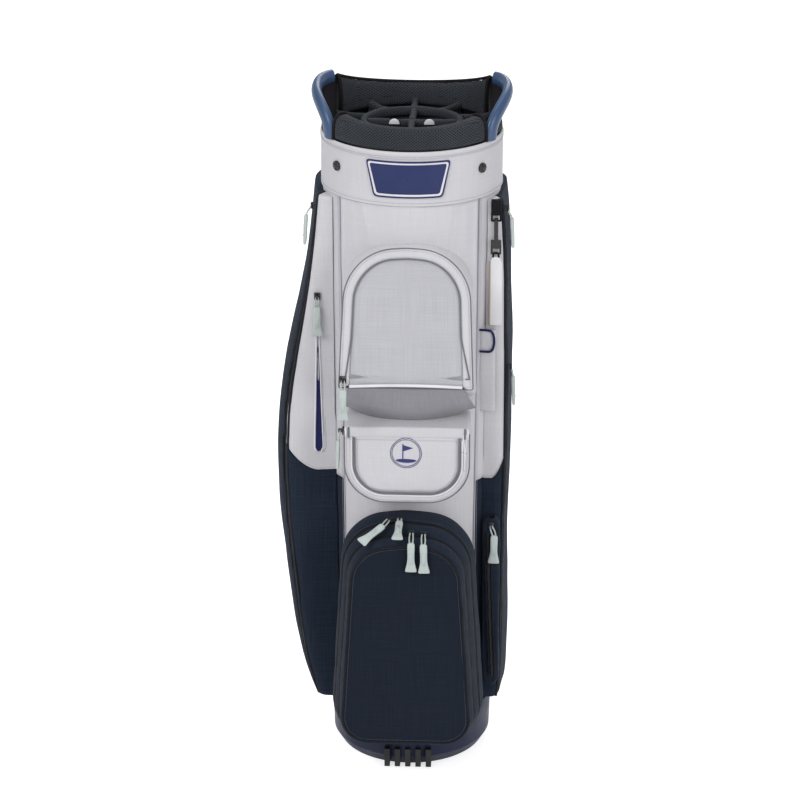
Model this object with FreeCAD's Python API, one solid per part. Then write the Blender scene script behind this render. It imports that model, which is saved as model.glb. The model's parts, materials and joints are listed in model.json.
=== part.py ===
"""A golf cart bag, upright on its moulded base.

Millimetres, +Z up, origin at the centre of the base's underside. The bag's front faces -Y, and
its left and right are those of someone who looks at the front, so left is -X.
"""
import FreeCAD
import Part

import math
import os
from FreeCAD import Vector

# ---- driving sizes -------------------------------------------------------------------------
CLEAR = 0.3              # gap between pieces that lie against each other
STEP_GAP = 0.4           # running gap round small moving hardware

# trunk of the bag: an oval tube that widens upwards, from the base cup to the cuff
CUP_HEIGHT = 66.0
CUFF_Z0, CUFF_Z1 = 768.0, 838.0
BODY_Z0, BODY_Z1 = CUP_HEIGHT + CLEAR, CUFF_Z0 - CLEAR
BODY_HALF_WIDTH_LOW, BODY_HALF_WIDTH_TOP = 104.0, 112.0
BODY_HALF_DEPTH_LOW, BODY_HALF_DEPTH_TOP = 103.0, 104.0
FABRIC_WALL = 3.0
LINER_WALL = 2.0
SEAM_GAP = 0.6           # between two fabric panels, where the seam tape lies
FRONT_SEAM_ANGLE = 51.0  # from the front's centre to the front panel's side seams
REAR_SEAM_ANGLE = 145.0  # from the front's centre to the rear panel's seams
LOWER_PANEL_TOP = 385.0  # the dark lower side fabric ends here

# moulded base
CUP_FRONT_PROUD, CUP_BACK_PROUD = 14.5, 2.5     # how far the cup reaches past the trunk
CUP_SIDE_PROUD = 0.8
CUP_HALF_WIDTH = BODY_HALF_WIDTH_LOW + CUP_SIDE_PROUD
CUP_HALF_DEPTH = BODY_HALF_DEPTH_LOW + (CUP_FRONT_PROUD + CUP_BACK_PROUD) / 2
CUP_SHIFT = (CUP_BACK_PROUD - CUP_FRONT_PROUD) / 2
CUP_WALL = 2.5
CUP_FLOOR = 4.0
CUP_FOOT_INSET = 10.0
CUP_FOOT_RISE = 13.0
RIB_COUNT = 5
RIB_WIDTH, RIB_PITCH, RIB_PROUD = 7.0, 13.5, 3.0
RIB_Z0, RIB_Z1 = 1.0, 26.0
STAY_RADIUS, STAY_GAP = 3.0, 0.8
STAY_ANGLES = (36.0, 144.0, 216.0, 324.0)

# cuff and top frame
CUFF_HALF_WIDTH, CUFF_HALF_DEPTH = 114.0, 106.0
CUFF_WALL = 2.5
FRAME_WALL = 5.0
BADGE_TOP, BADGE_BOTTOM, BADGE_HEIGHT = 108.0, 88.0, 47.0
BADGE_THICKNESS = 1.8
BADGE_Z0 = 779.0
BADGE_CORNER = 5.0
STUD_RADIUS, STUD_PROUD = 5.0, 3.5
STUD_ANGLE, STUD_Z = 50.0, 807.0

# padded rim
ROLL_HALF_ANGLE = 58.0   # either side of the front's centre
ROLL_HEIGHT, ROLL_THICKNESS = 30.0, 25.0
WALL_HALF_ANGLE = 64.0   # either side of the back's centre
WALL_HEIGHT_MID, WALL_HEIGHT_END, WALL_THICKNESS = 30.0, 54.0, 12.0
SIDE_PAD_HEIGHT, SIDE_PAD_THICKNESS = 13.0, 11.0
HANDLE_HALF_WIDTH, HANDLE_HALF_THICKNESS = 9.5, 6.5
HANDLE_FOOT = (99.0, -50.0)
HANDLE_OUT = 126.0 - HANDLE_HALF_THICKNESS
HANDLE_TOP = 889.0
HANDLE_LEAN, HANDLE_SWEEP = (3.0, 3.0), (13.0, 20.0)     # the two bends above its foot
HANDLE_REACH_BACK, HANDLE_CORNER_BACK, HANDLE_END_BACK = 52.0, 76.0, 94.0
HANDLE_CORNER_IN, HANDLE_END_IN = 4.0, 16.0
HANDLE_RISES = (0.36, 0.72, 0.93)                        # parts of its height at the bends

# club divider: ten cells round an oval ring, and four inside it
RING_HALF_WIDTH, RING_HALF_DEPTH = 65.0, 55.0
RING_PAD, RING_HEIGHT = 9.0, 12.0
TUBE_WALL = 1.5
SPOKE_WIDTH, PANEL_WALL = 8.0, 1.6
SPOKE_COUNT = 10
SLEEVE_Z0 = 12.0
TAB_WIDTH, TAB_HEIGHT, TAB_THICKNESS = 13.0, 7.0, 2.0

# front pockets
POCKET_WALL = 3.0
ZIP_DEPTH, ZIP_WIDTH = 1.6, 6.0
COOLER_Z0, COOLER_Z1 = CUP_HEIGHT + CLEAR, 367.0
COOLER_HALF_WIDTH = BODY_HALF_WIDTH_LOW + 1.0
COOLER_SHOULDER, COOLER_CORNER = 70.0, 34.0
COOLER_Y1, COOLER_Y2, COOLER_Y3 = -136.0, -160.0, -181.0
COOLER_BACK = -70.0      # the pocket's walls start inside the trunk's outline
COOLER_TAPER = 0.27      # how much each side draws in per millimetre of depth
COOLER_DROP = 0.30       # how much the top drops per millimetre of depth
LINER_FOAM = 3.0

VALUABLES_HALF_WIDTH = 86.0
VALUABLES_Z0, VALUABLES_Z1 = 490.0, 719.0
VALUABLES_SHOULDER = 66.0
VALUABLES_LIP_Z, VALUABLES_LIP_Y = 550.0, -163.0
VALUABLES_TOP_Y = -122.0
VALUABLES_FLAP_INSET = 14.0

UTILITY_HALF_WIDTH = 79.0
UTILITY_Z0, UTILITY_Z1 = 385.0, 487.0
UTILITY_Y = -137.0
UTILITY_CORNER = 52.0
UTILITY_FLAP_INSET = 13.0
FLAP_THICKNESS = 4.0

# side pockets: outward reach (mm from the axis) at each height
SIDE_LEVELS = (70.0, 117.0, 234.0, 349.0, 406.0, 490.0, 600.0, 700.0, 762.0)
LEFT_REACH = (128.0, 143.0, 161.0, 172.0, 173.5, 168.0, 146.0, 128.0, 121.0)
RIGHT_REACH = (119.0, 122.5, 124.0, 126.5, 128.0, 128.5, 127.5, 124.5, 119.0)
SIDE_FRONT_Y, SIDE_BACK_Y = -52.0, 74.0
ZIP_PLANE_Y = -44.0
SIDE_SHELL = 3.0
SIDE_ROOT = 74.0         # the side pockets' walls start inside the trunk's outline

# small pockets and fittings on the front gussets of the side pockets
SLASH_X, SLASH_HALF_WIDTH = -117.0, 5.0
SLASH_Z0, SLASH_Z1 = 417.0, 636.0
SLASH_TRAVEL = 180.0
WELT_THICKNESS = 1.2
PEN_X0, PEN_X1, PEN_Z0, PEN_Z1 = 88.0, 109.0, 480.0, 592.0
PEN_DEPTH, PEN_WALL = 9.0, 1.5
LOWER_X0, LOWER_X1, LOWER_Z0, LOWER_Z1 = 94.0, 117.0, 96.0, 335.0
LOWER_DEPTH, LOWER_WALL = 13.0, 2.0
TOWEL_X, TOWEL_WIDTH = 108.0, 13.0
TOWEL_Z0, TOWEL_Z1 = 742.0, 762.0
TOWEL_BAR, TOWEL_EYE, TOWEL_DROP = 1.3, 2.0, 7.0
HOOK_LENGTH, HOOK_THICKNESS = 34.0, 5.0
STRAP_TAB_WIDTH, STRAP_TAB_LENGTH, STRAP_TAB_THICKNESS = 14.0, 94.0, 1.8

# back of the bag
STRAP_X, STRAP_WIDTH, STRAP_END_WIDTH = -32.0, 62.0, 34.0
STRAP_THICKNESS, STRAP_END_THICKNESS = 13.0, 4.0
STRAP_Z0, STRAP_Z1 = 215.0, 735.0
STRAP_BOW = 22.0
RING_WIRE, RING_DROP = 2.2, 16.0
GRAB_X, GRAB_WIDTH, GRAB_THICKNESS = 42.0, 26.0, 6.0
GRAB_Z0, GRAB_Z1, GRAB_BOW = 600.0, 740.0, 26.0

# zip hardware
SLIDER_WIDTH, SLIDER_LENGTH, SLIDER_PLATE = 8.0, 9.0, 2.4
BRIDGE_WIDTH, BRIDGE_LENGTH = 3.0, 4.6
LOOP_RADIUS, LOOP_HALF_GAP, LOOP_LENGTH = 0.8, 3.4, 15.0
GRIP_LENGTH, GRIP_NECK, GRIP_FLARE, GRIP_THICKNESS = 38.0, 10.0, 15.0, 4.6
BAR_HEIGHT = 2.6         # from the slider's plate to the pull's bar

# ---- helpers -------------------------------------------------------------------------------
X, Y, Z = Vector(1, 0, 0), Vector(0, 1, 0), Vector(0, 0, 1)


def save(name, *shapes):
    """Write one node: one solid, or a group of separate solids."""
    solids = [solid for shape in shapes for solid in shape.Solids]
    shape = solids[0] if len(solids) == 1 else Part.makeCompound(solids)
    shape.exportStep("parts/" + name + ".step")
    volume = sum(solid.Volume for solid in solids)
    valid = all(solid.isValid() for solid in solids)
    print(f"{name:24s} solids {len(solids):3d}  volume {volume:11.1f}  valid {valid}")


def oval(half_width, half_depth, z, shift=0.0):
    """A level ellipse; its longer half may lie along either axis."""
    centre = Vector(0, shift, z)
    on_x, on_y = centre + X * half_width, centre + Y * half_depth
    if half_width >= half_depth:
        curve = Part.Ellipse(on_x, on_y, centre)
    else:
        curve = Part.Ellipse(on_y, centre - X * half_width, centre)
    return Part.Wire([curve.toShape()])


def trunk(inset, z0=BODY_Z0, z1=BODY_Z1):
    """The bag's oval trunk, drawn in by inset, between two heights of its own slope."""
    def section(z):
        t = (z - BODY_Z0) / (BODY_Z1 - BODY_Z0)
        half_width = BODY_HALF_WIDTH_LOW + t * (BODY_HALF_WIDTH_TOP - BODY_HALF_WIDTH_LOW)
        half_depth = BODY_HALF_DEPTH_LOW + t * (BODY_HALF_DEPTH_TOP - BODY_HALF_DEPTH_LOW)
        return oval(half_width - inset, half_depth - inset, z)
    return Part.makeLoft([section(z0), section(z1)], True, True)


def straight_oval(half_width, half_depth, z0, z1):
    return Part.Face(oval(half_width, half_depth, z0)).extrude(Z * (z1 - z0))


def on_oval(half_width, half_depth, angle, z):
    """The point of a level ellipse at an angle from +X."""
    a = math.radians(angle)
    return Vector(half_width * math.cos(a), half_depth * math.sin(a), z)


def sector(angle0, angle1, z0, z1):
    """A tall wedge about the axis, from one angle to another, seen from above."""
    reach, steps = 400.0, 6
    points = [Vector(0, 0, z0)]
    for i in range(steps + 1):
        a = math.radians(angle0 + (angle1 - angle0) * i / steps)
        points.append(Vector(reach * math.cos(a), reach * math.sin(a), z0))
    points.append(points[0])
    return Part.Face(Part.makePolygon(points)).extrude(Z * (z1 - z0))


def rounded(points, radii, place):
    """A closed outline with an arc of its own radius at every corner."""
    edges, ends = [], []
    count = len(points)
    for i, (x, z) in enumerate(points):
        corner = Vector(x, z, 0)
        before = Vector(*points[i - 1], 0) - corner
        after = Vector(*points[(i + 1) % count], 0) - corner
        half = before.getAngle(after) / 2
        reach = radii[i] / math.tan(half)
        start = corner + before.normalize() * reach
        end = corner + after.normalize() * reach
        middle = (before + after).normalize()
        top = corner + middle * (radii[i] / math.sin(half) - radii[i])
        ends.append((start, top, end))
    for i, (start, top, end) in enumerate(ends):
        edges.append(Part.Arc(place(start), place(top), place(end)).toShape())
        edges.append(Part.LineSegment(place(end), place(ends[(i + 1) % count][0])).toShape())
    return Part.Wire(edges)


def arch(half_width, z0, z1, y, shoulder, corner, crown=9.0, flare=0.06):
    """A pocket's outline in a plane that faces forward: round shoulders and a low crown."""
    top = half_width - flare * (z1 - z0)
    points = [(-half_width, z0), (half_width, z0), (top, z1 - crown), (0, z1), (-top, z1 - crown)]
    radii = [corner, corner, shoulder, half_width, shoulder]
    return rounded(points, radii, lambda p: Vector(p.x, y, p.y))


def mirror_x(shape):
    return shape.mirror(Vector(0, 0, 0), X)


def loft(*wires):
    return Part.makeLoft(list(wires), True, True)


def box(x0, x1, y0, y1, z0, z1):
    return Part.makeBox(x1 - x0, y1 - y0, z1 - z0, Vector(x0, y0, z0))


def bar_between(start, end, radius):
    return Part.makeCylinder(radius, (end - start).Length, start, end - start)


# ---- trunk ---------------------------------------------------------------------------------
BODY_SKIN = trunk(0)
BODY_KEEP_OUT = trunk(-CLEAR, 0.0, CUFF_Z1)
LINER_SEAT = CUP_FLOOR + CUP_FOOT_RISE
FRAME_OUT = CUFF_WALL + CLEAR
FRAME_IN = FRAME_OUT + FRAME_WALL
LINER_OUT = FABRIC_WALL + CLEAR
LINER_IN = LINER_OUT + LINER_WALL


def make_trunk():
    fabric = BODY_SKIN.cut(trunk(FABRIC_WALL))
    half_gap = math.degrees(SEAM_GAP / 2 / BODY_HALF_WIDTH_LOW)
    front = 270.0
    rear = REAR_SEAM_ANGLE
    side = FRONT_SEAM_ANGLE
    z_split = LOWER_PANEL_TOP
    panels = {
        "front_panel": (front - side, front + side, BODY_Z0, BODY_Z1),
        "rear_panel": (front + rear, front + 360.0 - rear, BODY_Z0, BODY_Z1),
        "left_side_panel": (front - rear, front - side, z_split + SEAM_GAP, BODY_Z1),
        "right_side_panel": (front + side, front + rear, z_split + SEAM_GAP, BODY_Z1),
        "lower_left_panel": (front - rear, front - side, BODY_Z0, z_split),
        "lower_right_panel": (front + side, front + rear, BODY_Z0, z_split),
    }
    shapes = {}
    for name, (angle0, angle1, z0, z1) in panels.items():
        shapes[name] = fabric.common(sector(angle0 + half_gap, angle1 - half_gap, z0, z1))
    for name in ("front_panel", "rear_panel", "left_side_panel", "right_side_panel"):
        save(name, shapes[name])
    save("lower_side_panels", shapes["lower_left_panel"], shapes["lower_right_panel"])

    outer = trunk(LINER_OUT, LINER_SEAT + CLEAR, BODY_Z1)
    save("liner", outer.cut(trunk(LINER_IN, 0.0, CUFF_Z1)))


def make_base():
    def section(inset, z):
        return oval(CUP_HALF_WIDTH - inset, CUP_HALF_DEPTH - inset, z, CUP_SHIFT)
    outer = loft(section(CUP_FOOT_INSET, 0), section(2.0, CUP_FOOT_RISE), section(0, CUP_HEIGHT))
    inner = loft(section(CUP_FOOT_INSET + CUP_WALL, CUP_FLOOR), section(CUP_WALL, LINER_SEAT),
                 section(CUP_WALL, CUP_HEIGHT + 1))
    save("base_cup", outer.cut(inner))

    front = CUP_SHIFT - CUP_HALF_DEPTH
    ribs = []
    grown = loft(section(CUP_FOOT_INSET - CLEAR, -CLEAR), section(2.0 - CLEAR, CUP_FOOT_RISE),
                 section(-CLEAR, CUP_HEIGHT))
    for i in range(RIB_COUNT):
        x = (i - (RIB_COUNT - 1) / 2) * RIB_PITCH
        rib = box(x - RIB_WIDTH / 2, x + RIB_WIDTH / 2, front - RIB_PROUD, front + 14.0,
                  RIB_Z0, RIB_Z1)
        ribs.append(rib.cut(grown))
    save("base_ribs", *ribs)

    rods = []
    for angle in STAY_ANGLES:
        inset = LINER_IN + STAY_RADIUS + STAY_GAP
        foot = on_oval(BODY_HALF_WIDTH_LOW - inset, BODY_HALF_DEPTH_LOW - inset, angle,
                       LINER_SEAT + CLEAR)
        head = on_oval(BODY_HALF_WIDTH_TOP - inset, BODY_HALF_DEPTH_TOP - inset, angle,
                       BODY_Z1 - STAY_RADIUS)
        rods.append(bar_between(foot, head, STAY_RADIUS))
    save("stay_rods", *rods)


def make_cuff():
    cuff = straight_oval(CUFF_HALF_WIDTH, CUFF_HALF_DEPTH, CUFF_Z0, CUFF_Z1)
    inside = straight_oval(CUFF_HALF_WIDTH - CUFF_WALL, CUFF_HALF_DEPTH - CUFF_WALL,
                           CUFF_Z0, CUFF_Z1)
    save("cuff_band", cuff.cut(inside))
    frame = straight_oval(CUFF_HALF_WIDTH - FRAME_OUT, CUFF_HALF_DEPTH - FRAME_OUT,
                          CUFF_Z0, CUFF_Z1)
    hole = straight_oval(CUFF_HALF_WIDTH - FRAME_IN, CUFF_HALF_DEPTH - FRAME_IN,
                         CUFF_Z0, CUFF_Z1)
    save("top_frame", frame.cut(hole))

    half_top, half_bottom = BADGE_TOP / 2, BADGE_BOTTOM / 2
    z1 = BADGE_Z0 + BADGE_HEIGHT
    points = [(-half_bottom, BADGE_Z0), (half_bottom, BADGE_Z0), (half_top, z1), (-half_top, z1)]
    outline = rounded(points, [BADGE_CORNER] * 4, lambda p: Vector(p.x, -200.0, p.y))
    prism = Part.Face(outline).extrude(Y * 150.0)
    shell = straight_oval(CUFF_HALF_WIDTH + CLEAR + BADGE_THICKNESS,
                          CUFF_HALF_DEPTH + CLEAR + BADGE_THICKNESS, CUFF_Z0, CUFF_Z1)
    grown = straight_oval(CUFF_HALF_WIDTH + CLEAR, CUFF_HALF_DEPTH + CLEAR, CUFF_Z0, CUFF_Z1)
    save("cuff_badge", prism.common(shell.cut(grown)))

    studs = []
    for side in (-1, 1):
        angle = 270.0 + side * STUD_ANGLE
        foot = on_oval(CUFF_HALF_WIDTH + CLEAR, CUFF_HALF_DEPTH + CLEAR, angle, STUD_Z)
        a = math.radians(angle)
        normal = Vector(math.cos(a) / CUFF_HALF_WIDTH, math.sin(a) / CUFF_HALF_DEPTH, 0)
        normal.normalize()
        stud = Part.makeCylinder(STUD_RADIUS, STUD_PROUD, foot, normal)
        studs.append(stud.cut(grown))
    save("snap_studs", *studs)


# ---- padded rim and handles ----------------------------------------------------------------
def rim_section(angle, inner, outer, height):
    """A rounded upright section of the rim, across the oval at one angle."""
    foot = CUFF_Z1 + CLEAR
    low_out = on_oval(CUFF_HALF_WIDTH - outer, CUFF_HALF_DEPTH - outer, angle, foot)
    low_in = on_oval(CUFF_HALF_WIDTH - inner, CUFF_HALF_DEPTH - inner, angle, foot)
    width = low_out - low_in
    round_height = min(height * 0.4, width.Length * 0.5)
    high_out = low_out + Z * (height - round_height)
    high_in = low_in + Z * (height - round_height)
    crest = (low_out + low_in) * 0.5 + Z * height
    edges = [Part.LineSegment(low_in, low_out).toShape(),
             Part.LineSegment(low_out, high_out).toShape(),
             Part.Arc(high_out, crest, high_in).toShape(),
             Part.LineSegment(high_in, low_in).toShape()]
    return Part.Wire(edges)


def rim_arc(angle0, angle1, thickness, height_at, steps):
    """A padded arc of the rim; height_at gives its height at -1 to 1 along it."""
    wires = []
    for i in range(steps + 1):
        t = i / steps
        height = height_at(2 * t - 1)
        wires.append(rim_section(angle0 + (angle1 - angle0) * t, thickness, 0.5, height))
    return Part.makeLoft(wires, True, False)


def handle_bar(grow):
    """The right handle: a bent oval bar from the frame, out and back to the wall's corner."""
    x0, y0 = HANDLE_FOOT
    foot = CUFF_Z1 + CLEAR
    rise = HANDLE_TOP - foot
    path = [Vector(x0, y0, foot),
            Vector(x0 + HANDLE_LEAN[0], y0 + HANDLE_LEAN[1], foot + rise * HANDLE_RISES[0]),
            Vector(x0 + HANDLE_SWEEP[0], y0 + HANDLE_SWEEP[1], foot + rise * HANDLE_RISES[1]),
            Vector(HANDLE_OUT, y0 + HANDLE_REACH_BACK, foot + rise * HANDLE_RISES[2]),
            Vector(HANDLE_OUT - HANDLE_CORNER_IN, y0 + HANDLE_CORNER_BACK, HANDLE_TOP),
            Vector(HANDLE_OUT - HANDLE_END_IN, y0 + HANDLE_END_BACK, HANDLE_TOP)]
    spine = Part.BSplineCurve()
    spine.interpolate(path)
    wires = []
    sections = 13
    first, last = spine.FirstParameter, spine.LastParameter
    for i in range(sections):
        u = first + (last - first) * i / (sections - 1)
        along = Vector(*spine.tangent(u)[0])
        across = along.cross(Z)
        if across.Length < 0.2 or i == 0:
            across = Vector(0.75, -0.66, 0)
        across.normalize()
        upright = across.cross(along).normalize()
        centre = spine.value(u)
        wide = centre + upright * (HANDLE_HALF_WIDTH + grow)
        thin = centre + across * (HANDLE_HALF_THICKNESS + grow)
        wires.append(Part.Wire([Part.Ellipse(wide, thin, centre).toShape()]))
    return Part.makeLoft(wires, True, False)


def make_rim():
    bar, room = handle_bar(0), handle_bar(CLEAR)
    foot = box(0, 200, -200, 200, CUFF_Z1 + CLEAR, CUFF_Z1 + 200)
    bar, room_left = bar.common(foot), mirror_x(room)
    save("handle_right", bar)
    save("handle_left", mirror_x(bar))

    roll = rim_arc(270 - ROLL_HALF_ANGLE, 270 + ROLL_HALF_ANGLE, ROLL_THICKNESS,
                   lambda t: ROLL_HEIGHT - 5.0 * t * t, 12)
    wall = rim_arc(90 - WALL_HALF_ANGLE, 90 + WALL_HALF_ANGLE, WALL_THICKNESS,
                   lambda t: WALL_HEIGHT_MID + (WALL_HEIGHT_END - WALL_HEIGHT_MID) * t * t, 12)
    side0 = ROLL_HALF_ANGLE - 90.0 + 0.5
    side1 = 90.0 - WALL_HALF_ANGLE - 0.5
    pad = rim_arc(side0, side1, SIDE_PAD_THICKNESS, lambda t: SIDE_PAD_HEIGHT, 6)
    save("rim_roll", roll.cut(room).cut(room_left))
    save("rim_wall", wall.cut(room).cut(room_left))
    pad = pad.cut(room)
    save("rim_side_pads", pad, mirror_x(pad))


# ---- club divider --------------------------------------------------------------------------
def make_divider():
    top = CUFF_Z1 + RING_HEIGHT
    seat = CUFF_Z1
    ring = straight_oval(RING_HALF_WIDTH, RING_HALF_DEPTH, seat, top)
    hole = straight_oval(RING_HALF_WIDTH - RING_PAD, RING_HALF_DEPTH - RING_PAD, seat, top)
    ring = ring.cut(hole)

    tube = straight_oval(RING_HALF_WIDTH, RING_HALF_DEPTH, SLEEVE_Z0, seat - CLEAR)
    bore = straight_oval(RING_HALF_WIDTH - TUBE_WALL, RING_HALF_DEPTH - TUBE_WALL,
                         SLEEVE_Z0, seat - CLEAR)
    tube = tube.cut(bore)
    half_gap = math.degrees(SEAM_GAP / 2 / RING_HALF_DEPTH)
    pitch = 360.0 / SPOKE_COUNT
    seams = [90.0 + pitch * i for i in range(SPOKE_COUNT)]
    save("divider_tube", *[tube.common(sector(seam + half_gap, seam + pitch - half_gap,
                                              SLEEVE_Z0, seat)) for seam in seams])

    grown_ring = straight_oval(RING_HALF_WIDTH + CLEAR, RING_HALF_DEPTH + CLEAR, 0, top)
    roll_inside = ROLL_THICKNESS + CLEAR
    wall_inside = WALL_THICKNESS + CLEAR
    front_room = straight_oval(CUFF_HALF_WIDTH - roll_inside, CUFF_HALF_DEPTH - roll_inside,
                               seat, top)
    back_room = straight_oval(CUFF_HALF_WIDTH - wall_inside, CUFF_HALF_DEPTH - wall_inside,
                              seat, top)
    low_room = trunk(LINER_IN + CLEAR, SLEEVE_Z0, BODY_Z1)
    high_room = straight_oval(CUFF_HALF_WIDTH - FRAME_IN - CLEAR,
                              CUFF_HALF_DEPTH - FRAME_IN - CLEAR, BODY_Z1, seat - CLEAR)
    spokes, panels = [], []
    for angle in seams:
        reach = 200.0

        def strip(width, z0, z1):
            bar = box(0, reach, -width / 2, width / 2, z0, z1)
            bar.rotate(Vector(0, 0, 0), Z, angle)
            return bar
        rim_side = back_room if math.sin(math.radians(angle)) > 0 else front_room
        spokes.append(strip(SPOKE_WIDTH, seat, top).common(rim_side).cut(grown_ring))
        panel = strip(PANEL_WALL, SLEEVE_Z0, seat - CLEAR)
        panels.append(panel.common(low_room).cut(grown_ring))
        panels.append(panel.common(high_room).cut(grown_ring))

    inner = straight_oval(RING_HALF_WIDTH - RING_PAD - CLEAR, RING_HALF_DEPTH - RING_PAD - CLEAR,
                          seat, top)
    bore = straight_oval(RING_HALF_WIDTH - TUBE_WALL - CLEAR, RING_HALF_DEPTH - TUBE_WALL - CLEAR,
                         SLEEVE_Z0, seat - CLEAR)
    half = SPOKE_WIDTH / 2
    across = box(-200, 200, -half, half, seat, top).common(inner)
    arms = [box(-half, half, half + CLEAR, 200, seat, top).common(inner),
            box(-half, half, -200, -half - CLEAR, seat, top).common(inner)]
    half = PANEL_WALL / 2
    z1 = seat - CLEAR
    panels += [box(-200, 200, -half, half, SLEEVE_Z0, z1).common(bore),
               box(-half, half, half + CLEAR, 200, SLEEVE_Z0, z1).common(bore),
               box(-half, half, -200, -half - CLEAR, SLEEVE_Z0, z1).common(bore)]
    save("divider_spokes", *spokes, across, *arms)
    save("divider_walls", *panels)

    tabs = []
    for side in (-1, 1):
        centre = Vector(side * 22.0, -(SPOKE_WIDTH / 2) - CLEAR, top - TAB_HEIGHT)
        disc = Part.makeCylinder(TAB_WIDTH / 2, TAB_THICKNESS, centre, -Y)
        tabs.append(disc.common(box(-200, 200, -200, 200, top - TAB_HEIGHT, top + 20)))
    save("divider_ring", ring, *tabs)


# ---- front pockets -------------------------------------------------------------------------
def cooler_outline(y, inset):
    """The insulated pocket's outline at one depth; it draws in and drops towards the front."""
    depth = BODY_HALF_DEPTH_LOW - abs(y)
    half = COOLER_HALF_WIDTH + COOLER_TAPER * min(depth, 0) - inset
    top = COOLER_Z1 + COOLER_DROP * min(depth, 0) - inset
    shoulder = COOLER_SHOULDER + COOLER_TAPER * min(depth, 0) - inset
    return arch(half, COOLER_Z0 + inset, top, y, shoulder, COOLER_CORNER - inset)


def cooler_block(y0, y1, inset=0.0):
    return loft(cooler_outline(y0, inset), cooler_outline(y1, inset))


def make_cooler():
    back = COOLER_BACK
    wall = POCKET_WALL
    body = cooler_block(back, COOLER_Y1).cut(cooler_block(back, COOLER_Y1, wall))
    save("cooler_body", body.cut(BODY_KEEP_OUT))
    foam = cooler_block(back, COOLER_Y1 + CLEAR, wall + CLEAR)
    room = cooler_block(back, COOLER_Y1 + CLEAR, wall + CLEAR + LINER_FOAM)
    backing = trunk(-CLEAR - LINER_FOAM, 0.0, CUFF_Z1)
    save("cooler_liner", foam.cut(room.cut(backing)).cut(BODY_KEEP_OUT))

    chains = []
    panels = {}
    for name, y0, y1 in (("cooler_panel", COOLER_Y1, COOLER_Y2), ("ball_panel", COOLER_Y2, COOLER_Y3)):
        start = y0 - CLEAR
        end = start - ZIP_DEPTH
        chain = cooler_block(start, end).cut(cooler_block(start, end, ZIP_WIDTH))
        chains.append(chain)
        near = end - CLEAR
        shell = cooler_block(near, y1).cut(cooler_block(near, y1 + wall, wall))
        panels[name] = shell
    save("cooler_zip", chains[0], *cooler_sliders("cooler"))
    save("ball_zip", chains[1], *cooler_sliders("ball"))
    save("cooler_panel", panels["cooler_panel"])
    save("ball_panel", panels["ball_panel"])


def side_prism(points):
    """A prism across the bag whose side view is a polygon of (y, z) points."""
    corners = [Vector(-150, y, z) for y, z in points]
    return Part.Face(Part.makePolygon(corners + corners[:1])).extrude(X * 300)


def make_valuables():
    body_y = -BODY_HALF_DEPTH_TOP + 30.0
    profile = [(body_y, VALUABLES_Z0), (body_y, VALUABLES_Z1), (VALUABLES_TOP_Y, VALUABLES_Z1),
               (VALUABLES_LIP_Y, VALUABLES_LIP_Z), (-BODY_HALF_DEPTH_TOP, VALUABLES_Z0)]
    wall = POCKET_WALL

    def outline(inset, low):
        return arch(VALUABLES_HALF_WIDTH - inset, low, VALUABLES_Z1 - inset, 0.0,
                    VALUABLES_SHOULDER - inset, 12.0, 5.0, 0.04)

    def prism(inset, low=VALUABLES_Z0):
        return Part.Face(outline(inset, low)).extrude(Y * -220)
    slope = Vector(0, VALUABLES_LIP_Y - VALUABLES_TOP_Y, VALUABLES_LIP_Z - VALUABLES_Z1)
    outward = Vector(0, slope.z, -slope.y).normalize()
    solid = prism(0).common(side_prism(profile))
    inner = prism(wall, VALUABLES_Z0 + wall).common(side_prism(profile).translated(outward * -wall))
    flap_outline = prism(VALUABLES_FLAP_INSET, VALUABLES_LIP_Z + wall)
    shell = solid.cut(inner)
    mouth = prism(VALUABLES_FLAP_INSET - CLEAR, VALUABLES_LIP_Z + wall - CLEAR)
    front_skin = side_prism([(VALUABLES_TOP_Y, VALUABLES_Z1), (VALUABLES_LIP_Y, VALUABLES_LIP_Z),
                             (VALUABLES_LIP_Y, VALUABLES_LIP_Z - 1),
                             (-260, VALUABLES_LIP_Z - 1), (-260, VALUABLES_Z1)])
    skin = front_skin.translated(outward * -(wall + CLEAR))
    save("valuables_body", shell.cut(mouth.common(skin)).cut(BODY_KEEP_OUT))
    flap = flap_outline.common(front_skin.translated(outward * -wall)
                               .cut(front_skin.translated(outward * (FLAP_THICKNESS - wall))))
    save("valuables_flap", flap)


def make_utility():
    wall = POCKET_WALL

    def block(inset, y0, y1, low=0.0):
        points = [(-UTILITY_HALF_WIDTH + inset, UTILITY_Z0 + inset + low),
                  (UTILITY_HALF_WIDTH - inset, UTILITY_Z0 + inset + low),
                  (UTILITY_HALF_WIDTH - inset, UTILITY_Z1 - inset),
                  (-UTILITY_HALF_WIDTH + inset, UTILITY_Z1 - inset)]
        radii = [UTILITY_CORNER - inset, UTILITY_CORNER - inset, 4.0, 4.0]
        face = Part.Face(rounded(points, radii, lambda p: Vector(p.x, y0, p.y)))
        return face.extrude(Y * (y1 - y0))
    back = -60.0
    hollow = block(wall, back, UTILITY_Y + wall)
    inset = UTILITY_FLAP_INSET
    mouth = block(inset - CLEAR, back, UTILITY_Y - 1)
    shell = block(0, back, UTILITY_Y).cut(hollow).cut(mouth)
    save("utility_body", shell.cut(BODY_KEEP_OUT))
    save("utility_flap", block(inset, UTILITY_Y + wall, UTILITY_Y + wall - FLAP_THICKNESS))


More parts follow.
